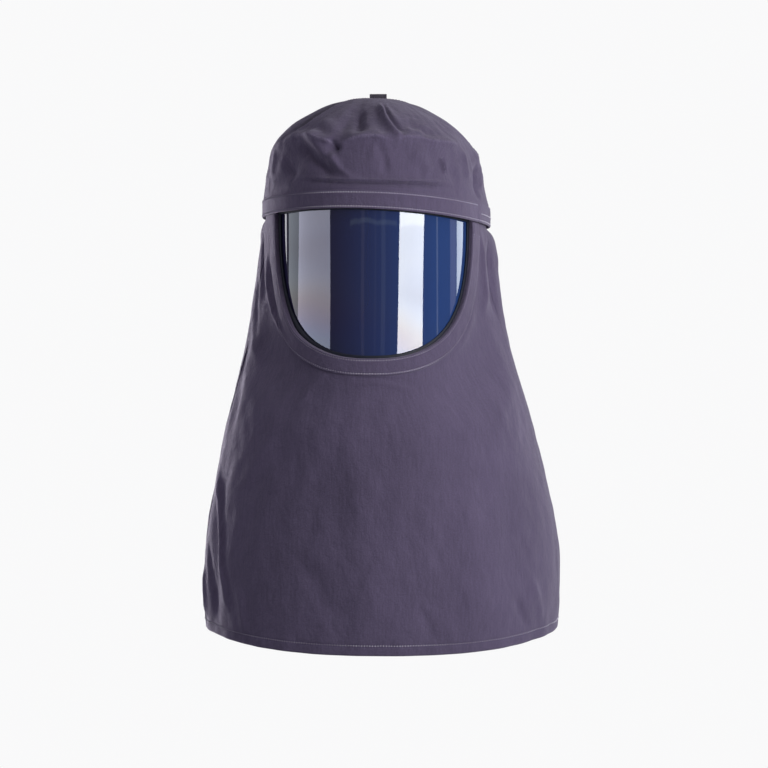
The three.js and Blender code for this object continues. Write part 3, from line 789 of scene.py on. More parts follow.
def skirt_map(angle, height):
    """Flat cloth coordinates of the skirt: true widths at each height."""
    point = skirt_point(np.stack([0 * angle, 0 * angle + math.pi / 2]), height)
    radius = (np.abs(point[0, ..., 1]) + np.abs(point[1, ..., 0])) / 2
    return angle * radius, height


def crown_share(place):
    """Share of the crown's height at places in its table."""
    return rows_at(CROWN_SECTIONS, place, True).at


def seam_angle(seam, place):
    """Where a crown seam runs. seam is its table of shares of the crown's height and degrees."""
    at, turned = zip(*seam)
    return np.radians(np.interp(crown_share(place), at, turned))


def crown_panel(name, start_seam, end_seam, back, columns, rows):
    """Half of the crown between two seams that meet at its top. The back half tucks under the front.
    Distances from the seam are in millimetres."""
    edge_up = 1.5 * MM
    last = len(CROWN_SECTIONS) - 1
    first = place_of(CROWN_SECTIONS, edge_up / shape().crown_height)

    def seams(place):
        return seam_angle(start_seam, place), seam_angle(end_seam, place) + back * FULL_TURN

    def tucked(place):
        above_band, below_top = 0.14, 0.985
        at = crown_share(place)
        return smooth_step((at - above_band) / 0.1) * smooth_step((below_top - at) / 0.08)

    def where(u, v):
        # Rows lie closest where the crown's bent edge runs.
        place = np.interp(v, [0, 0.28, 0.62, 1], [first, 3.2, 5.1, last])
        start, end = seams(place)
        under = back * SEAM_TUCK * tucked(place)
        return lerp(start - under, end + under, u), place

    def from_seam(angle, place):
        start, end = seams(place)
        radius = rows_at(CROWN_SECTIONS, place, True).width * shape().crown_half_width
        return radius * np.clip(np.minimum(angle - start, end - angle), -1, 1) / MM

    def place_wall(u, v, inside):
        angle, place = where(u, v)
        far = from_seam(angle, place)
        if back:
            lap_width, lap_fade = 6.0, 9.0
            lapped = CLOTH * bell(np.maximum(far - lap_width, 0), lap_fade)
            points = on_crown(angle, place, np.where(inside, -CLOTH, 0) - lapped * tucked(place))
        else:
            puckers, puckers_width = 34, 6.0
            puckered = 0.3 * MM * bell(far, puckers_width) * np.sin(place * puckers)
            ridge_at, ridge_width, edge_width = 3.0, 2.0, 1.2
            rolled = 1.5 * MM * bell(far, edge_width) - 0.5 * MM * bell(far - ridge_at, ridge_width)
            points = on_crown(angle, place, np.where(inside, -CLOTH, puckered - rolled))
        points[:, 1] += (1 if back else -1) * shape().gap / 2
        return points

    def wear_and_painted_light(u, v):
        angle, place = where(u, v)
        far = from_seam(angle, place)
        if back:
            # Painted shade: the back panel's cloth is darkened beside the seam, by values below 0.
            shaded_to, fade = 20.0, 11.0
            return -smooth_step((shaded_to - far) / fade) * tucked(place)
        height = crown_rise(crown_share(place), angle)
        # Painted highlights along the crease crests, on rubbed wear.
        wear_and_light_values = crease_depth(CROWN_WEAR_AND_HIGHLIGHTS, angle, height, crown_rise)
        # Painted highlight: a pale line along the front panel's rolled seam edge.
        seam_highlight, highlight_at, highlight_width = 1.7, 2.4, 1.8
        return seam_highlight * bell(far - highlight_at, highlight_width) + wear_and_light_values

    def cloth_map(u, v):
        return crown_map(*where(u, v))

    return lay_wall(name, place_wall, cloth_map, cloth_material(), columns, rows, wear_and_painted_light)


class HOOD_OT_crown(bpy.types.Operator):
    """Lays the crown's two panels, with their creases and the rolled seam between them"""

    bl_idname = "hood.crown"
    bl_label = "Crown"

    def execute(self, context):
        front = crown_panel("crown_front_cloth", SEAM_LEFT, SEAM_RIGHT, False, columns=300, rows=150)
        dress(front, "cloth", "crown_front")
        back = crown_panel("crown_back_cloth", SEAM_RIGHT, SEAM_LEFT, True, columns=210, rows=110)
        dress(back, "cloth", "crown_back")
        return {"FINISHED"}


def band_outside(angle, v):
    """How far the pressed band stands out from the crown. Its upper part lies flatter."""
    low_share, high_share, flatter_by = 0.62, 0.42, 1.6
    pressed = shape().band_cloth * lerp(low_share, high_share, smooth_step(v * flatter_by))
    return strip_outside(v, shape().band_height, pressed) + band_lap(angle)


def band_lap(angle):
    """How far the band stands out where its end laps over at the right."""
    lap, lap_length, lap_fade = 0.9 * MM, 0.6, 0.3
    past = wrapped(angle) - opening().band_join
    return lap * smooth_step(past / math.radians(1.2)) * (1 - smooth_step((past - lap_length) / lap_fade))


class HOOD_OT_brow_band(bpy.types.Operator):
    """Lays the stitched band round the brow"""

    bl_idname = "hood.brow_band"
    bl_label = "Brow band"

    def execute(self, context):
        s = shape()
        top = place_of(CROWN_SECTIONS, s.band_height / s.crown_height)

        def place_wall(u, v, inside):
            angle = FULL_TURN * u
            return on_crown(angle, top * v, np.where(inside, s.gap, band_outside(angle, v)))

        def flat(u, v):
            return FULL_TURN * u * (s.crown_half_width + s.crown_front) / 2, v * s.band_height

        def wear_and_painted_light(u, v):
            near_join = bell(FULL_TURN * u - opening().band_join, 0.28)
            return 0.4 * strip_worn(v, s.band_height) + 0.7 * near_join

        band = lay_wall("brow_band_cloth", place_wall, flat, cloth_material(), 420, 22, wear_and_painted_light, ring=True)
        dress(band, "cloth", "brow_band")
        return {"FINISHED"}


def hem_thickness(angle, height):
    """Cloth thickness of the skirt, doubled where the hem is turned up."""
    s = shape()
    near_hem = smooth_step((hem_line(angle) + s.hem_height + HEM_SLOPE - height) / HEM_SLOPE)
    return lerp(CLOTH, s.hem_cloth, near_hem)


def skirt_outside(angle, height):
    """Outer offset of the skirt: a round hem edge and a groove along its stitches."""
    above = height - hem_line(angle)
    round_edge = 1.4 * MM * (1 - rounded(above, HEM_ROUNDING))
    groove = 0.4 * MM * bell(above - shape().hem_height + HEM_STITCH_INSET, 1.3 * MM)
    return -(round_edge + groove)


def lay_bib(name, where, columns, rows):
    """One bib of the skirt, rubbed along its hem. where(u, v) gives the angles and heights on it."""

    def place_wall(u, v, inside):
        angle, height = where(u, v)
        outer = skirt_outside(angle, height)
        return on_skirt(angle, height, np.where(inside, -hem_thickness(angle, height), outer))

    def cloth_map(u, v):
        return skirt_map(*where(u, v))

    def wear_and_painted_light(u, v):
        angle, height = where(u, v)
        return bell(height - hem_line(angle), HEM_ROUNDING)

    return lay_wall(name, place_wall, cloth_map, cloth_material(), columns, rows, wear_and_painted_light)


class HOOD_OT_bib_front(bpy.types.Operator):
    """Lays the front bib, with lines that fan out from the opening to the seams and the hem"""

    bl_idname = "hood.bib_front"
    bl_label = "Front bib"

    def execute(self, context):
        s = shape()
        seam = opening().side_seam - s.gap / s.crown_half_width / 2
        side_share, tuck_share = 0.3, 0.016

        def where(u, v):
            share = np.clip((u - tuck_share) / (1 - 2 * tuck_share), 0, 1)
            tucked = np.clip(1 - np.minimum(u, 1 - u) / tuck_share, 0, 1)
            along_hem = lerp(-seam, seam, (share - side_share) / (1 - 2 * side_share))
            end = np.minimum(share, 1 - share) / side_share
            angle = np.where(end < 1, np.where(share < 0.5, -seam, seam), along_hem)
            low = lerp(band_line(angle), hem_line(angle), np.minimum(end, 1))
            inner_angle, inner_height = opening_edge(share, 0.0, 0.0)
            # Rows lie closer beside the opening and at the hem.
            out = np.interp(v, [0, 0.12, 0.88, 1], [0, 0.07, 0.95, 1])
            angle = lerp(inner_angle, angle, out)
            height = lerp(inner_height, low, out)
            return angle, np.where(tucked > 0, band_line(angle) + tucked * s.bib_tuck, height)

        bib = lay_bib("bib_front_cloth", where, columns=360, rows=110)
        dress(bib, "cloth", "bib_front")
        return {"FINISHED"}


class HOOD_OT_bib_back(bpy.types.Operator):
    """Lays the back bib, which hangs in soft folds"""

    bl_idname = "hood.bib_back"
    bl_label = "Back bib"

    def execute(self, context):
        s = shape()
        seam = opening().side_seam + s.gap / s.crown_half_width / 2
        tuck_share = 0.03

        def where(u, v):
            angle = lerp(seam, FULL_TURN - seam, u)
            tucked = np.clip(1 - v / tuck_share, 0, 1) * s.bib_tuck
            # Rows lie closer below the band and at the hem.
            down = np.interp(v, [tuck_share, 0.1, 0.9, 1], [0, 0.04, 0.967, 1])
            return angle, lerp(band_line(angle), hem_line(angle), down) + tucked

        bib = lay_bib("bib_back_cloth", where, columns=210, rows=150)
        dress(bib, "cloth", "bib_back")
        return {"FINISHED"}


def facing_drop():
    """How far below the band's lower edge the facing's two ends stop."""
    return shape().gap + 0.2 * MM


class HOOD_OT_facing(bpy.types.Operator):
    """Lays the strip that is sewn round the opening"""

    bl_idname = "hood.facing"
    bl_label = "Opening facing"

    def execute(self, context):
        s, o = shape(), opening()
        strip_length = 0.48

        def where(u, v):
            inner_angle, inner_height = opening_edge(u, 0.0, -facing_drop())
            outer_angle, outer_height = opening_edge(u, o.facing_width, -facing_drop())
            return lerp(inner_angle, outer_angle, v), lerp(inner_height, outer_height, v)

        def place_wall(u, v, inside):
            outer = strip_outside(v, o.facing_width, s.facing_cloth)
            return on_skirt(*where(u, v), np.where(inside, s.gap, outer))

        def wear_and_painted_light(u, v):
            return 0.5 * strip_worn(v, o.facing_width)

        def flat(u, v):
            return u * strip_length, v * o.facing_width

        strip = lay_wall("opening_facing_cloth", place_wall, flat, cloth_material(), 320, 22, wear_and_painted_light)
        dress(strip, "cloth", "opening_facing")
        return {"FINISHED"}


class HOOD_OT_window_seal(bpy.types.Operator):
    """Lays the dark binding all round the window"""

    bl_idname = "hood.window_seal"
    bl_label = "Window binding"

    def execute(self, context):
        s, o = shape(), opening()
        side_share = 0.7
        outside = 2 * (CLOTH + s.gap)

        def ring(around, wider, top):
            angle, height = opening_edge(np.clip(around / side_share, 0, 1), wider, top)
            corner = opening_edge(np.ones_like(around), wider, top)[0]
            back = lerp(corner, -corner, np.clip((around - side_share) / (1 - side_share), 0, 1))
            over = around > side_share
            return np.where(over, back, angle), np.where(over, band_line(back) + top, height)

        def where(u, v):
            low = np.sin(math.pi * np.clip(u / side_share, 0, 1)) ** 2
            reveal = lerp(o.seal_reveal, o.seal_low_reveal, low)
            inner_angle, inner_height = ring(u, -reveal, -o.seal_top_reveal)
            outer_angle, outer_height = ring(u, o.seal_lap, o.seal_lap)
            return lerp(inner_angle, outer_angle, v), lerp(inner_height, outer_height, v)

        def place_wall(u, v, inside):
            rolled_in = 0.5 * MM * np.clip(1 - v / 0.12, 0, 1) ** 2
            return window_point(*where(u, v), outside + np.where(inside, o.seal_thickness, rolled_in))

        def flat(u, v):
            return u * 0.7, v * (o.seal_reveal + o.seal_lap)

        binding = lay_wall("window_binding", place_wall, flat, binding_material(), 300, 14, ring=True)
        dress(binding, "seal", "window_seal")
        return {"FINISHED"}


class HOOD_OT_window(bpy.types.Operator):
    """Bends the clear sheet behind the opening"""

    bl_idname = "hood.window"
    bl_label = "Window"

    def execute(self, context):
        s, o = shape(), opening()
        outside = 2 * (CLOTH + s.gap) + o.seal_thickness + s.gap
        half = math.asin(min(1.0, WINDOW_HIGH.x / (s.crown_half_width - outside)))

        def place_wall(u, v, inside):
            angle = lerp(-half, half, u)
            height = lerp(WINDOW_LOW.z, WINDOW_HIGH.z, v)
            # The sheet isn't quite even, which bends what shows in it.
            uneven = 0.25 * MM * ripples(angle * 0.12, height * 0.35, 0.11, 8) ** 2
            return window_point(angle, height, outside + uneven + np.where(inside, o.window_thickness, 0))

        def flat(u, v):
            return u * 0.3, v * (WINDOW_HIGH.z - WINDOW_LOW.z)

        sheet = lay_wall("window_sheet", place_wall, flat, window_material(), 180, 60)
        dress(sheet, "window", "window")
        return {"FINISHED"}


class HOOD_OT_tab(bpy.types.Operator):
    """Folds the tape loop on the crown's seam"""

    bl_idname = "hood.tab"
    bl_label = "Top tab"

    def execute(self, context):
        low, high = TAB_LOW, TAB_HIGH
        radius = (high.y - low.y) / 2
        straight = high.z - radius - low.z
        tape = 1.1 * MM
        walked = 2 * straight + math.pi * radius

        def place_wall(u, v, inside):
            x = lerp(low.x, high.x, u)
            run = v * walked
            bend = np.clip((run - straight) / radius, 0, math.pi)
            reach = np.where(inside, radius - tape, radius)
            y = -reach * np.cos(bend)
            leg = np.minimum(run, walked - run)
            z = low.z + np.minimum(leg, straight) + reach * np.sin(bend)
            slack = 0.25 * MM * np.sin(u * math.pi * 3)
            return np.stack([x, y + slack * (1 - v), z], -1)

        def flat(u, v):
            return v * walked, u * (high.x - low.x)

        tab = lay_wall("top_tab_tape", place_wall, flat, tape_material(), 24, 40)
        dress(tab, "tape", "top_tab")
        return {"FINISHED"}


def stitch_row(bm, points, normals):
    """Stitches along a line of points on the cloth, each a small round-ended stretch of thread. They
    are made in batches, because a sphere is quick to add to a small mesh and slow to add to a big one."""
    f = finish()
    walked = walk(points)
    count = int(walked[-1] / f.stitch_pitch)
    few = bmesh.new()
    batch = bpy.data.meshes.new("batch")
    for k in range(count):
        middle = (k + 0.5) * walked[-1] / count
        ends = [middle - f.stitch_length / 2, middle + f.stitch_length / 2]
        a, b = (Vector([np.interp(d, walked, points[:, i]) for i in range(3)]) for d in ends)
        up = Vector([np.interp(middle, walked, normals[:, i]) for i in range(3)]).normalized()
        along = (b - a).normalized()
        across = up.cross(along).normalized()
        turned = Matrix((across, up, along)).transposed().to_4x4()
        size = Matrix.Diagonal((f.thread_radius, f.thread_radius * 0.8, (b - a).length / 2, 1))
        place = Matrix.Translation((a + b) / 2) @ turned @ size
        bmesh.ops.create_uvsphere(few, u_segments=8, v_segments=5, radius=1, matrix=place)
        if k % STITCH_BATCH == STITCH_BATCH - 1 or k == count - 1:
            few.to_mesh(batch)
            bm.from_mesh(batch)
            few.clear()
    few.free()
    bpy.data.meshes.remove(batch)


def stitching(name, rows):
    """One piece of thread from several rows of (points, normals)."""
    bm = bmesh.new()
    for points, normals in rows:
        stitch_row(bm, points, normals)
    for face in bm.faces:
        face.smooth = True
    return dress(add_piece(name, bm, thread_material()), None)


class HOOD_OT_stitches(bpy.types.Operator):
    """Sews the rows of top stitching along the band, the facing and the hem"""

    bl_idname = "hood.stitches"
    bl_label = "Stitches"

    def execute(self, context):
        stitching("band_stitches", list(self.band_rows()))
        stitching("facing_stitches", list(self.facing_rows()))
        stitching("hem_stitches", list(self.hem_rows()))
        return {"FINISHED"}

    def band_rows(self):
        """The lower row all round, the upper one up to the join, and a lower stretch on the lapped end."""
        s, f, join = shape(), finish(), opening().band_join
        upper = s.band_height - f.stitch_inset
        lap_start, lap_end, upper_start = (join + math.radians(turned) for turned in (3, 32, 34))
        lap_drop = 8 * MM
        for start, end, up in (
            (0.0, FULL_TURN, f.stitch_inset),
            (upper_start - FULL_TURN, join, upper),
            (lap_start, lap_end, upper - lap_drop),
        ):
            angle = np.linspace(start, end, ROW_POINTS)
            place = np.full_like(angle, place_of(CROWN_SECTIONS, up / s.crown_height))
            raised = band_outside(angle, np.full_like(angle, up / s.band_height)) + 0.15 * MM
            yield on_crown(angle, place, raised), normal_at(crown_point, angle, place)

    def facing_rows(self):
        """A row along each edge of the facing."""
        s, o, f = shape(), opening(), finish()
        end_share, points = 0.015, 900
        shares = np.linspace(end_share, 1 - end_share, points)
        for wider in (f.stitch_inset, o.facing_width - f.stitch_inset):
            angle, height = opening_edge(shares, wider, -facing_drop())
            raised = np.full_like(angle, s.gap + s.facing_cloth - 0.1 * MM)
            yield on_skirt(angle, height, raised), normal_at(skirt_point, angle, height)

    def hem_rows(self):
        """One row that holds the turned hem."""
        around = np.linspace(0, FULL_TURN, ROW_POINTS)
        height = hem_line(around) + shape().hem_height - HEM_STITCH_INSET
        raised = np.full_like(around, 0.2 * MM)
        yield on_skirt(around, height, raised), normal_at(skirt_point, around, height)


class HOOD_OT_stage(bpy.types.Operator):
    """Sets the floor, the lights and the camera"""

    bl_idname = "hood.stage"
    bl_label = "Stage"

    def execute(self, context):
        set_camera(context.scene)
        set_floor(context.scene)
        set_world(context.scene)
        for light in LIGHTS:
            set_light(*light)
        return {"FINISHED"}


# Lights: name, degrees round from the front to the right, distance, width, height, height of the
# middle, brightness, colour and degrees of roll. Most stand level with the window and show in it.
LIGHTS = [
    ("key_strip", 46.5, 1.6, 0.82, 0.62, -0.14, 13.0, (0.97, 0.98, 1.0), -21),
    ("left_panel", -75.5, 1.5, 1.24, 0.3, -0.16, 3.6, (0.84, 0.83, 1.0), 0),
    ("left_mid", -105.5, 1.5, 0.41, 0.4, -0.15, 1.3, (0.84, 0.9, 0.97), 0),
    ("left_pale", -123.0, 1.5, 0.33, 0.4, -0.15, 2.8, (1.0, 0.96, 1.0), 0),
    ("left_rim", -142, 1.5, 0.6, 0.8, -0.55, 22.0, (1.0, 0.96, 1.0), 0),
    ("right_thin", 80, 1.5, 0.05, 0.4, -0.15, 0.8, (0.9, 0.95, 1.0), 0),
    ("right_violet", 101.5, 1.5, 0.22, 0.4, -0.15, 0.55, (0.9, 0.8, 1.0), 0),
    ("right_rim", 115, 1.5, 0.42, 0.5, -0.05, 4.6, (0.88, 0.94, 1.0), 0),
    ("right_back", 140, 1.5, 0.5, 1.1, -0.25, 5.0, (1.0, 0.98, 1.0), 0),
    ("streak_left", -13, 2.2, 0.16, 0.5, -0.1, 0.16, (1.0, 0.85, 1.0), 0),
    ("streak_middle", 3, 2.2, 0.07, 0.5, -0.1, 0.1, (0.9, 0.9, 1.0), 0),
    ("streak_right", 13, 2.2, 0.2, 0.5, -0.1, 0.2, (0.8, 0.9, 1.0), 0),
    ("line_left", -25.0, 2.0, 0.34, 0.009, -0.012, 0.3, (0.8, 1.0, 1.0), 0),
    ("line_middle", -7.5, 2.0, 0.87, 0.009, -0.012, 0.3, (0.8, 1.0, 1.0), 0),
    ("line_right", 17.5, 2.0, 0.87, 0.009, -0.012, 0.3, (0.8, 1.0, 1.0), 0),
    ("soft_key", 48, 1.2, 0.7, 0.7, 0.26, 2.3, (1.0, 0.99, 1.0), 0),
    ("right_fill", 84, 0.55, 0.3, 0.3, 0.36, 2.2, (1.0, 0.98, 1.0), 0),
    ("top", -25, 0.9, 0.8, 0.8, 1.1, 1.5, (1.0, 1.0, 1.0), 0),
]
# The place that every light faces.
LIGHT_AIM = Vector((0.0, -0.05, -0.24))


def set_light(name, azimuth, distance, width, height, z, radiance, colour, roll):
    """A soft rectangular light that faces the hood."""
    data = bpy.data.lights.new(name, "AREA")
    data.shape = "RECTANGLE"
    data.size, data.size_y = width, height
    data.energy = radiance * math.pi * width * height
    data.color = colour
    light = bpy.data.objects.new(name, data)
    turned = math.radians(azimuth)
    light.location = (distance * math.sin(turned), -distance * math.cos(turned), z)
    aim = LIGHT_AIM - light.location
    rolled = Matrix.Rotation(math.radians(roll), 3, "Z")
    light.rotation_euler = (aim.to_track_quat("-Z", "Y").to_matrix() @ rolled).to_euler()
    light.visible_camera = False
    bpy.context.collection.objects.link(light)


def set_camera(scene):
    """A level camera at the photograph's angle."""
    stage = scene.hood_stage
    data = bpy.data.cameras.new("camera")
    data.lens = stage.lens
    data.sensor_width = 36.0
    camera = bpy.data.objects.new("camera", data)
    right = Vector((math.cos(stage.camera_turn), math.sin(stage.camera_turn), 0))
    ahead = Vector((-math.sin(stage.camera_turn), math.cos(stage.camera_turn), 0))
    camera.location = right * stage.camera_side - ahead * stage.distance
    camera.location.z = stage.camera_height
    camera.rotation_euler = (math.radians(90), 0, stage.camera_turn)
    scene.collection.objects.link(camera)
    scene.camera = camera


def set_floor(scene):
    """A pale floor so far below the hem that the hood's shadow doesn't show, as in the photo."""
    stage = scene.hood_stage
    bm = bmesh.new()
    bmesh.ops.create_grid(bm, x_segments=1, y_segments=1, size=stage.floor_size)
    bmesh.ops.translate(bm, vec=(0, 0, CAD_BOX[0][2] - stage.floor_drop), verts=bm.verts)
    floor = add_piece("floor", bm, floor_material())


def set_world(scene):
    """A pale, even room that lights the hood less than it shows."""
    scene.view_settings.view_transform = "Standard"
    world = bpy.data.worlds.new("room")
    scene.world = world
    world.use_nodes = True
    tree = world.node_tree
    tree.nodes.clear()
    seen = tree.nodes.new("ShaderNodeBackground")
    seen.inputs["Color"].default_value = rgba(BACKDROP)
    lit = tree.nodes.new("ShaderNodeBackground")
    lit.inputs["Color"].default_value = rgba(ROOM_LIGHT)
    lit.inputs["Strength"].default_value = ROOM_STRENGTH
    path = tree.nodes.new("ShaderNodeLightPath")
    mix = tree.nodes.new("ShaderNodeMixShader")
    output = tree.nodes.new("ShaderNodeOutputWorld")
    tree.links.new(path.outputs["Is Camera Ray"], mix.inputs[0])
    tree.links.new(lit.outputs[0], mix.inputs[1])
    tree.links.new(seen.outputs[0], mix.inputs[2])
    tree.links.new(mix.outputs[0], output.inputs["Surface"])


def rgba(colour):
    """A colour with full cover."""
    return (*colour, 1.0)


def fraction(colour, share):
    """A colour made darker or lighter by a share."""
    return [part * share for part in colour]


def kept_material(name, roughness):
    """Wraps a function that fills in a material's nodes: the material is made once and then found."""

    def wrap(fill):
        def made_once():
            if name not in bpy.data.materials:
                fill(Nodes(name, roughness))
            return bpy.data.materials[name]

        return made_once

    return wrap


class Nodes:
    """Short forms for building one material's node tree."""

    def __init__(self, name, roughness):
        self.material = bpy.data.materials.new(name)
        self.material.use_nodes = True
        self.tree = self.material.node_tree
        self.shader = self.tree.nodes["Principled BSDF"]
        self.shader.inputs["Roughness"].default_value = roughness

    def add(self, kind, **settings):
        """A new node. Settings are its own properties."""
        node = self.tree.nodes.new("ShaderNode" + kind)
        for key, value in settings.items():
            setattr(node, key, value)
        return node

    def fill(self, socket, value):
        """Puts a constant on a socket, or a link where the value is another node's socket."""
        if isinstance(value, bpy.types.NodeSocket):
            self.tree.links.new(value, socket)
        else:
            socket.default_value = value

    def put(self, node, **values):
        """Fills a node's inputs, by name with _ for a space."""
        for key, value in values.items():
            self.fill(node.inputs[key.replace("_", " ")], value)
        return node

    def surface(self, **values):
        """Fills the shader's own inputs."""
        self.put(self.shader, **values)

    def stretched(self, source, scale):
        """Coordinates scaled along each axis."""
        return self.put(self.add("Mapping"), Vector=source, Scale=scale).outputs["Vector"]

    def parted(self, source):
        """The three coordinates of a place, by name."""
        return self.put(self.add("SeparateXYZ"), Vector=source).outputs

    def noise(self, source, scale, detail=2.0, roughness=0.5):
        """A cloudy pattern from 0 to 1."""
        node = self.put(self.add("TexNoise"), Vector=source, Scale=scale)
        return self.put(node, Detail=detail, Roughness=roughness).outputs["Fac"]

    def ranged(self, source, low, high, to_low=0.0, to_high=1.0):
        """A value moved from one range to another."""
        node = self.put(self.add("MapRange"), Value=source, From_Min=low, From_Max=high)
        return self.put(node, To_Min=to_low, To_Max=to_high).outputs["Result"]

    def blended(self, share, a, b):
        """A colour between two, by a share."""
        mix = self.put(self.add("Mix", data_type="RGBA"), Factor=share)
        for name, value in (("A", a), ("B", b)):
            socket = [i for i in mix.inputs if i.name == name and i.type == "RGBA"][0]
            self.fill(socket, value if isinstance(value, bpy.types.NodeSocket) else rgba(value))
        return [o for o in mix.outputs if o.type == "RGBA"][0]

    def mixed(self, share, a, b):
        """A shader between two others, by a share."""
        mix = self.add("MixShader")
        for socket, value in zip(mix.inputs, (share, a.outputs[0], b.outputs[0])):
            self.fill(socket, value)
        return mix

    def maths(self, operation, a, b):
        """A sum or product of two values."""
        node = self.add("Math", operation=operation)
        for socket, value in zip(node.inputs, (a, b)):
            self.fill(socket, value)
        return node.outputs[0]

    def bump(self, height, distance, strength):
        """Fine relief on the shader's surface."""
        node = self.put(self.add("Bump"), Height=height, Distance=distance, Strength=strength)
        self.surface(Normal=node.outputs["Normal"])


def twill(nodes, uv, pitch):
    """Slanting ribs with threads across them, from 0 to 1."""
    scale = FULL_TURN / 20 / pitch
    turned = nodes.put(nodes.add("Mapping"), Vector=uv, Rotation=(0, 0, math.radians(58)))
    ribs = nodes.put(nodes.add("TexWave"), Vector=turned.outputs["Vector"], Scale=scale, Distortion=0.0)
    across = nodes.put(nodes.add("TexWave"), Vector=uv, Scale=scale * 1.4, Distortion=0.0)
    return nodes.maths("MULTIPLY", ribs.outputs["Fac"], across.outputs["Fac"])


@kept_material("hood_cloth", 0.9)
def cloth_material(nodes):
    """Heathered twill: two yarns, slubs along the warp, ribs, soft sheen, and rubbed edges with painted
    highlights. Where its attribute is below 0, the cloth is darkened as painted shade."""
    f = finish()
    uv = nodes.add("UVMap", uv_map="cloth").outputs["UV"]
    place = nodes.add("TexCoord").outputs["Object"]
    wear_and_painted_light = nodes.add("Attribute", attribute_name="wear_and_painted_light").outputs["Fac"]
    ribs = twill(nodes, uv, f.weave_pitch)
    heather = nodes.noise(uv, 620, 3.0, 0.6)
    slub = nodes.noise(nodes.stretched(uv, (420, 46, 1)), 1.0, 2.0, 0.5)
    patch = nodes.noise(place, 9.0, 4.0, 0.55)
    share = nodes.ranged(heather, 0.3, 0.7, 0.0, 0.5)
    share = nodes.maths("ADD", share, nodes.ranged(slub, 0.3, 0.7, 0.0, 0.3))
    share = nodes.maths("ADD", share, nodes.ranged(patch, 0.35, 0.65, -0.05, 0.25))
    colour = nodes.blended(share, f.cloth_dark, f.cloth_light)
    # Paler towards the pale tone: rubbed wear, and painted highlights along the crown's seam edge and
    # crease crests.
    wear_and_light_values = nodes.maths("MULTIPLY", wear_and_painted_light, nodes.ranged(heather, 0.3, 0.75, 0.0, 0.6))
    colour = nodes.blended(wear_and_light_values, colour, f.cloth_pale)
    # Painted shade: darker where the attribute is below 0.
    shaded = nodes.ranged(wear_and_painted_light, 0.0, -1.0, 0.0, 0.72)
    colour = nodes.blended(shaded, colour, fraction(f.cloth_dark, 0.35))
    roughness = nodes.ranged(heather, 0.3, 0.7, 0.84, 0.95)
    nodes.surface(Base_Color=colour, Roughness=roughness, Specular_IOR_Level=0.25)
    nodes.surface(Sheen_Weight=0.22, Sheen_Roughness=0.5, Sheen_Tint=rgba((0.8, 0.76, 0.9)))
    relief = nodes.maths("ADD", ribs, nodes.ranged(heather, 0.2, 0.8, 0.0, 0.8))
    crumple = nodes.noise(nodes.stretched(place, (95, 95, 70)), 1.0, 4.0, 0.6)
    relief = nodes.maths("ADD", relief, nodes.ranged(crumple, 0.2, 0.8, 0.0, 9.0))
    nodes.bump(relief, 0.00018, 0.6)


@kept_material("hood_thread", 0.6)
def thread_material(nodes):
    """Pale sewing thread. It is darkened to the cloth's own tone at the hood's left, and beside the window
    at both sides, as painted shade, and dulled at its right."""
    place = nodes.add("TexCoord").outputs["Object"]
    shade = nodes.noise(place, 900, 2.0)
    pale, dark_thread_tone = finish().thread, finish().cloth_pale
    colour = nodes.blended(nodes.ranged(shade, 0.3, 0.7), fraction(pale, 0.8), pale)
    # Painted shade: the thread is darkened at the hood's left and beside the window.
    across, up = (nodes.parted(place)[axis] for axis in "XZ")
    below_band = nodes.ranged(up, -0.15, -0.165)
    above_bend = nodes.ranged(up, -0.288, -0.268)
    from_left = nodes.maths("SUBTRACT", across, nodes.ranged(below_band, 0.0, 1.0, 0.0, 0.034))
    thread_brightness = nodes.ranged(from_left, -0.075, -0.035)
    beside = nodes.maths("MULTIPLY", below_band, above_bend)
    thread_brightness = nodes.maths("MULTIPLY", thread_brightness, nodes.ranged(beside, 0.0, 1.0, 1.0, 0.0))
    thread_brightness = nodes.maths("MULTIPLY", thread_brightness, nodes.ranged(across, 0.055, 0.08, 1.0, 0.35))
    colour = nodes.blended(nodes.ranged(thread_brightness, 0.0, 1.0, 0.16, 1.0), dark_thread_tone, colour)
    nodes.surface(Base_Color=colour, Sheen_Weight=0.2)
    nodes.bump(shade, 0.00008, 0.5)


@kept_material("hood_binding", 0.55)
def binding_material(nodes):
    """Dull black binding with a fine grain."""
    grain = nodes.noise(nodes.add("TexCoord").outputs["Object"], 1400, 3.0)
    dark = finish().binding
    colour = nodes.blended(nodes.ranged(grain, 0.3, 0.7), dark, fraction(dark, 2.2))
    roughness = nodes.ranged(grain, 0.3, 0.7, 0.5, 0.7)
    nodes.surface(Base_Color=colour, Roughness=roughness, Specular_IOR_Level=0.3)
    nodes.bump(grain, 0.0001, 0.4)


@kept_material("hood_window", 0.03)
def window_material(nodes):
    """Glossy clear sheet with a dark blue tint, a hard coating and a film that colours it low down."""
    place = nodes.add("TexCoord").outputs["Object"]
    across, up = (nodes.parted(place)[axis] for axis in "XZ")
    # Painted light: the tint runs from a dark violet on the window's shaded left to a brighter blue on its
    # lit right.
    colour = nodes.blended(nodes.ranged(across, -0.05, 0.07), finish().window_left, finish().window)
    drift = nodes.ranged(nodes.noise(nodes.stretched(place, (6.0, 6.0, 12.0)), 1.0, 2.0), 0.3, 0.7, -50, 50)
    slanting = nodes.maths("ADD", up, nodes.maths("MULTIPLY", across, 0.36))
    film = nodes.maths("ADD", nodes.ranged(slanting, -0.2, -0.31, 70, 400), drift)
    smear = nodes.noise(nodes.stretched(place, (60.0, 60.0, 16.0)), 1.0, 4.0)
    nodes.surface(Base_Color=colour, Roughness=nodes.ranged(smear, 0.4, 0.8, 0.02, 0.07))
    nodes.surface(Transmission_Weight=0.25, IOR=1.16, Thin_Film_Thickness=film, Thin_Film_IOR=1.22)
    nodes.surface(Coat_Weight=1.0, Coat_Roughness=0.015, Coat_IOR=1.55)


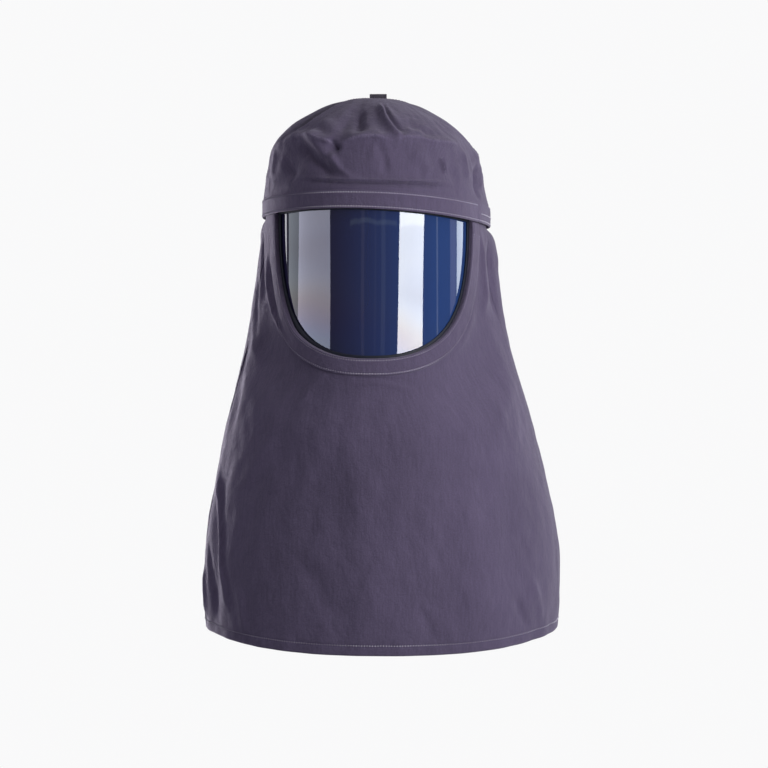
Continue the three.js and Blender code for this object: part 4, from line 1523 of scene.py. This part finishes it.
@kept_material("hood_tape", 0.9)
def tape_material(nodes):
    """Dark ribbed tape."""
    ribs = twill(nodes, nodes.add("UVMap", uv_map="cloth").outputs["UV"], 0.0008)
    dark = finish().tape
    colour = nodes.blended(ribs, fraction(dark, 0.6), fraction(dark, 1.5))
    nodes.surface(Base_Color=colour, Sheen_Weight=0.2)
    nodes.bump(ribs, 0.0002, 0.6)


@kept_material("stage_floor", 0.9)
def floor_material(nodes):
    """Pale floor that melts into the room, and lights the hood less than it shows."""
    place = nodes.add("TexCoord").outputs["Object"]
    away = nodes.put(nodes.add("VectorMath", operation="LENGTH"), Vector=place)
    far = nodes.ranged(away.outputs["Value"], 0.5, 1.6)
    nodes.surface(Base_Color=rgba((0.2, 0.2, 0.21)), Specular_IOR_Level=0.0)
    nodes.surface(Emission_Color=rgba((1, 1, 1)), Emission_Strength=0.8)
    white = nodes.put(nodes.add("Emission"), Color=rgba(BACKDROP))
    dim = nodes.put(nodes.add("BsdfDiffuse"), Color=rgba((0.3, 0.3, 0.32)))
    seen = nodes.mixed(far, nodes.shader, white)
    both = nodes.mixed(nodes.add("LightPath").outputs["Is Camera Ray"], dim, seen)
    nodes.put(nodes.tree.nodes["Material Output"], Surface=both.outputs[0])


class HOOD_PT_panel(bpy.types.Panel):
    """Lists the hood's pieces in the sidebar"""

    bl_label = "Arc Flash Hood"
    bl_space_type = "VIEW_3D"
    bl_region_type = "UI"
    bl_category = "Hood"

    def draw(self, context):
        for operator in OPERATORS:
            self.layout.operator(operator.bl_idname)


OPERATORS = (
    HOOD_OT_crown,
    HOOD_OT_brow_band,
    HOOD_OT_bib_front,
    HOOD_OT_bib_back,
    HOOD_OT_facing,
    HOOD_OT_window_seal,
    HOOD_OT_window,
    HOOD_OT_tab,
    HOOD_OT_stitches,
    HOOD_OT_stage,
)
GROUPS = {
    "hood_shape": HoodShape,
    "hood_opening": HoodOpening,
    "hood_finish": HoodFinish,
    "hood_stage": HoodStage,
}


def register():
    """Adds the property groups, the operators and the panel."""
    for made in (*GROUPS.values(), *OPERATORS, HOOD_PT_panel):
        bpy.utils.register_class(made)
    for name, group in GROUPS.items():
        setattr(bpy.types.Scene, name, PointerProperty(type=group))


def unregister():
    """Takes away what register adds."""
    for name in GROUPS:
        delattr(bpy.types.Scene, name)
    for made in (HOOD_PT_panel, *reversed(OPERATORS), *reversed(GROUPS.values())):
        bpy.utils.unregister_class(made)


def main():
    register()
    for operator in OPERATORS:
        group, name = operator.bl_idname.split(".")
        getattr(getattr(bpy.ops, group), name)()


if __name__ == "__main__":
    main()
